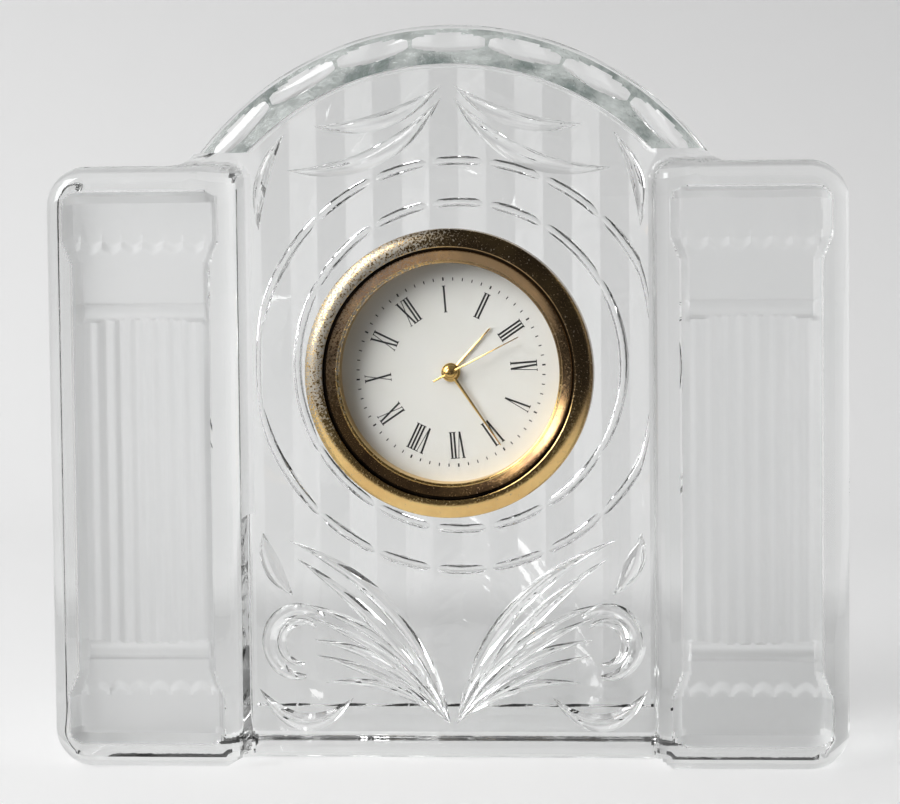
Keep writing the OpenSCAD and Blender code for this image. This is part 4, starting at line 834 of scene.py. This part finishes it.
def hand(name, node, body, bearing, length, tail, width, tip, hub, bore, low, high, crown):
    """A blade whose half width runs evenly from hub to tip, over a section with a low ridge, joined to a
    round hub, whose top is a part of an ellipse."""
    start = [np.linspace(-tail, -hub * 0.7, TAIL_STEPS)] if tail else []
    s = np.concatenate([*start, np.linspace(hub * 0.7, length - TIP_LENGTH, HAND_STEPS),
                        [length - 0.12, length - 0.04, length]])
    narrowed = np.interp(s, [0, length - TIP_LENGTH, length - 0.04, length],
                         [width / 2, tip / 2, tip / 3, 0.005])
    wide = np.where(s < 0, width / 2, narrowed)[:, None]
    across, up = np.array([[-1, 0], [1, 0], [1, 0.55], [0, 1], [-1, 0.55]]).T
    turn = math.radians(bearing)
    points = in_insert(wide * across * math.cos(turn) + s[:, None] * math.sin(turn),
                       s[:, None] * math.cos(turn) - wide * across * math.sin(turn),
                       low + (high - low) * up + 0 * wide)
    n, m = len(s), len(across)
    faces = capped(n, m)
    if tail:
        gap = TAIL_STEPS * m
        faces = [f for f in faces if not min(f) < gap <= max(f)]
        faces += [list(range(gap - m, gap)), list(range(gap, gap + m))]
    ring = [(bore, low), (hub - HUB_EDGE, low), (hub, low + HUB_EDGE), (hub, high - HUB_EDGE)]
    ring += [(hub * share, high + crown * math.sqrt(1 - share ** 2))
             for share in np.linspace(0.96, bore / hub, 8)]
    angle = np.linspace(0, 2 * math.pi, HUB_STEPS, endpoint=False)[:, None]
    r, level = np.array(ring).T
    hub_points = in_insert(r * np.cos(angle), r * np.sin(angle), level + 0 * angle)
    faces += (grid_faces(HUB_STEPS, len(ring), True, True) + n * m).tolist()
    made = make_object(name, np.vstack([points.reshape(-1, 3), hub_points.reshape(-1, 3)]) * MM, faces)
    smooth(made.data, 20)
    made.data.materials.append(hand_gold)
    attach(made, body)
    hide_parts(node)


hand("hour_pointer", "hour_hand", "hour", bearing=76.5, length=7.6, tail=0, width=0.36, tip=0.16,
     hub=1.2, bore=0.7, low=-1.31, high=-1.15, crown=0.12)
hand("minute_pointer", "minute_hand", "cannon", bearing=180, length=11.2, tail=0, width=0.45, tip=0.14,
     hub=0.95, bore=0.45, low=-0.86, high=-0.7, crown=0.32)
hand("second_pointer", "second_hand", "seconds", bearing=97, length=9.8, tail=2.4, width=0.26, tip=0.12,
     hub=0.7, bore=0.15, low=-0.32, high=-0.2, crown=0.3)


# Case of the insert. A white plastic cup and the ring that holds the movement in it, both moulded, a pressed
# steel cover snapped on at the back, and a clear nylon grip ring and gasket stretched over the cup.
white_plastic = finish("white_case_plastic", grained, ((0.80, 0.80, 0.77), (0.74, 0.74, 0.70)), 250, 5000,
                       (0.32, 0.5))
cover_steel = finish("pressed_cover_steel", lined, ((0.64, 0.64, 0.65), (0.54, 0.54, 0.55)), 200, 500,
                     (0.22, 0.36), 1)
nylon = finish("clear_nylon", grained, ((0.90, 0.91, 0.90), (0.84, 0.86, 0.85)), 300, 4000, (0.25, 0.42),
               Transmission_Weight=0.6, IOR=1.52)
clear_to_light(nylon, 0.5)
wear(white_plastic, "case_cup", "movement_holder")
wear(cover_steel, "back_cover")
wear(nylon, "grip_ring", "lens_gasket")

# Plates of the movement. Two moulded plates of dark plastic that carry the arbors, held together by three
# small steel screws.
dark_plastic = finish("dark_movement_plastic", grained, ((0.045, 0.045, 0.05), (0.075, 0.075, 0.08)), 300,
                      6000, (0.35, 0.55))
steel = finish("bright_steel", lined, ((0.62, 0.62, 0.63), (0.50, 0.50, 0.52)), 300, 900, (0.2, 0.38), 1)
wear(dark_plastic, "main_plate", "train_bridge")
wear(steel, "bridge_screws")

# Drive. A cell under a brass strap feeds the circuit on its green board, with a black chip and a quartz
# crystal in a steel can. The coil of enamelled copper turns the magnet of the rotor through an iron stator.
iron = finish("soft_iron_sheet", lined, ((0.44, 0.44, 0.45), (0.34, 0.34, 0.35)), 300, 1200, (0.3, 0.5), 1)
wire = finish("enamelled_copper", lined, ((0.72, 0.30, 0.13), (0.50, 0.18, 0.07)), 500, 700, (0.2, 0.4), 1,
              0.00004)
brass = finish("rolled_brass", lined, ((0.80, 0.58, 0.28), (0.66, 0.46, 0.20)), 300, 1500, (0.2, 0.35), 1)
magnet = finish("sintered_magnet", grained, ((0.12, 0.12, 0.13), (0.20, 0.20, 0.21)), 1500, 9000,
                (0.35, 0.6), 0.6)
board = finish("green_board", grained, ((0.02, 0.16, 0.07), (0.04, 0.24, 0.11)), 900, 6000, (0.3, 0.45),
               Coat_Weight=0.4)
epoxy = finish("chip_epoxy", grained, ((0.02, 0.02, 0.02), (0.04, 0.04, 0.04)), 1500, 9000, (0.3, 0.45))
wear(cover_steel, "battery")
wear(steel, "quartz_can")
wear(iron, "stator", "coil_core")
wear(wire, "coil")
wear(brass, "battery_strap")
wear(magnet, "rotor")
wear(board, "circuit_board")
wear(epoxy, "timing_chip")

# Wheels. The train and the motion work are moulded of natural nylon, apart from the brass ones that carry or
# drive a hand: each is one piece with its pinion, and turns on its arbor between the plates.
natural_nylon = finish("natural_nylon", grained, ((0.80, 0.78, 0.70), (0.74, 0.71, 0.62)), 400, 6000,
                       (0.3, 0.45), Subsurface_Weight=0.1)
wear(natural_nylon, "intermediate_wheel", "third_wheel", "minute_wheel", "hour_wheel")
wear(brass, "seconds_wheel", "centre_wheel", "cannon_pinion")

# Setting work. The crown, of gilt brass, is screwed on a turned steel stem. The stem slides in the plate, is
# held by the setting lever, and turns the sliding pinion and the setting wheel, both of steel.
wear(steel, "setting_wheel", "sliding_pinion", "setting_stem", "setting_lever")
wear(bright_gold, "crown")
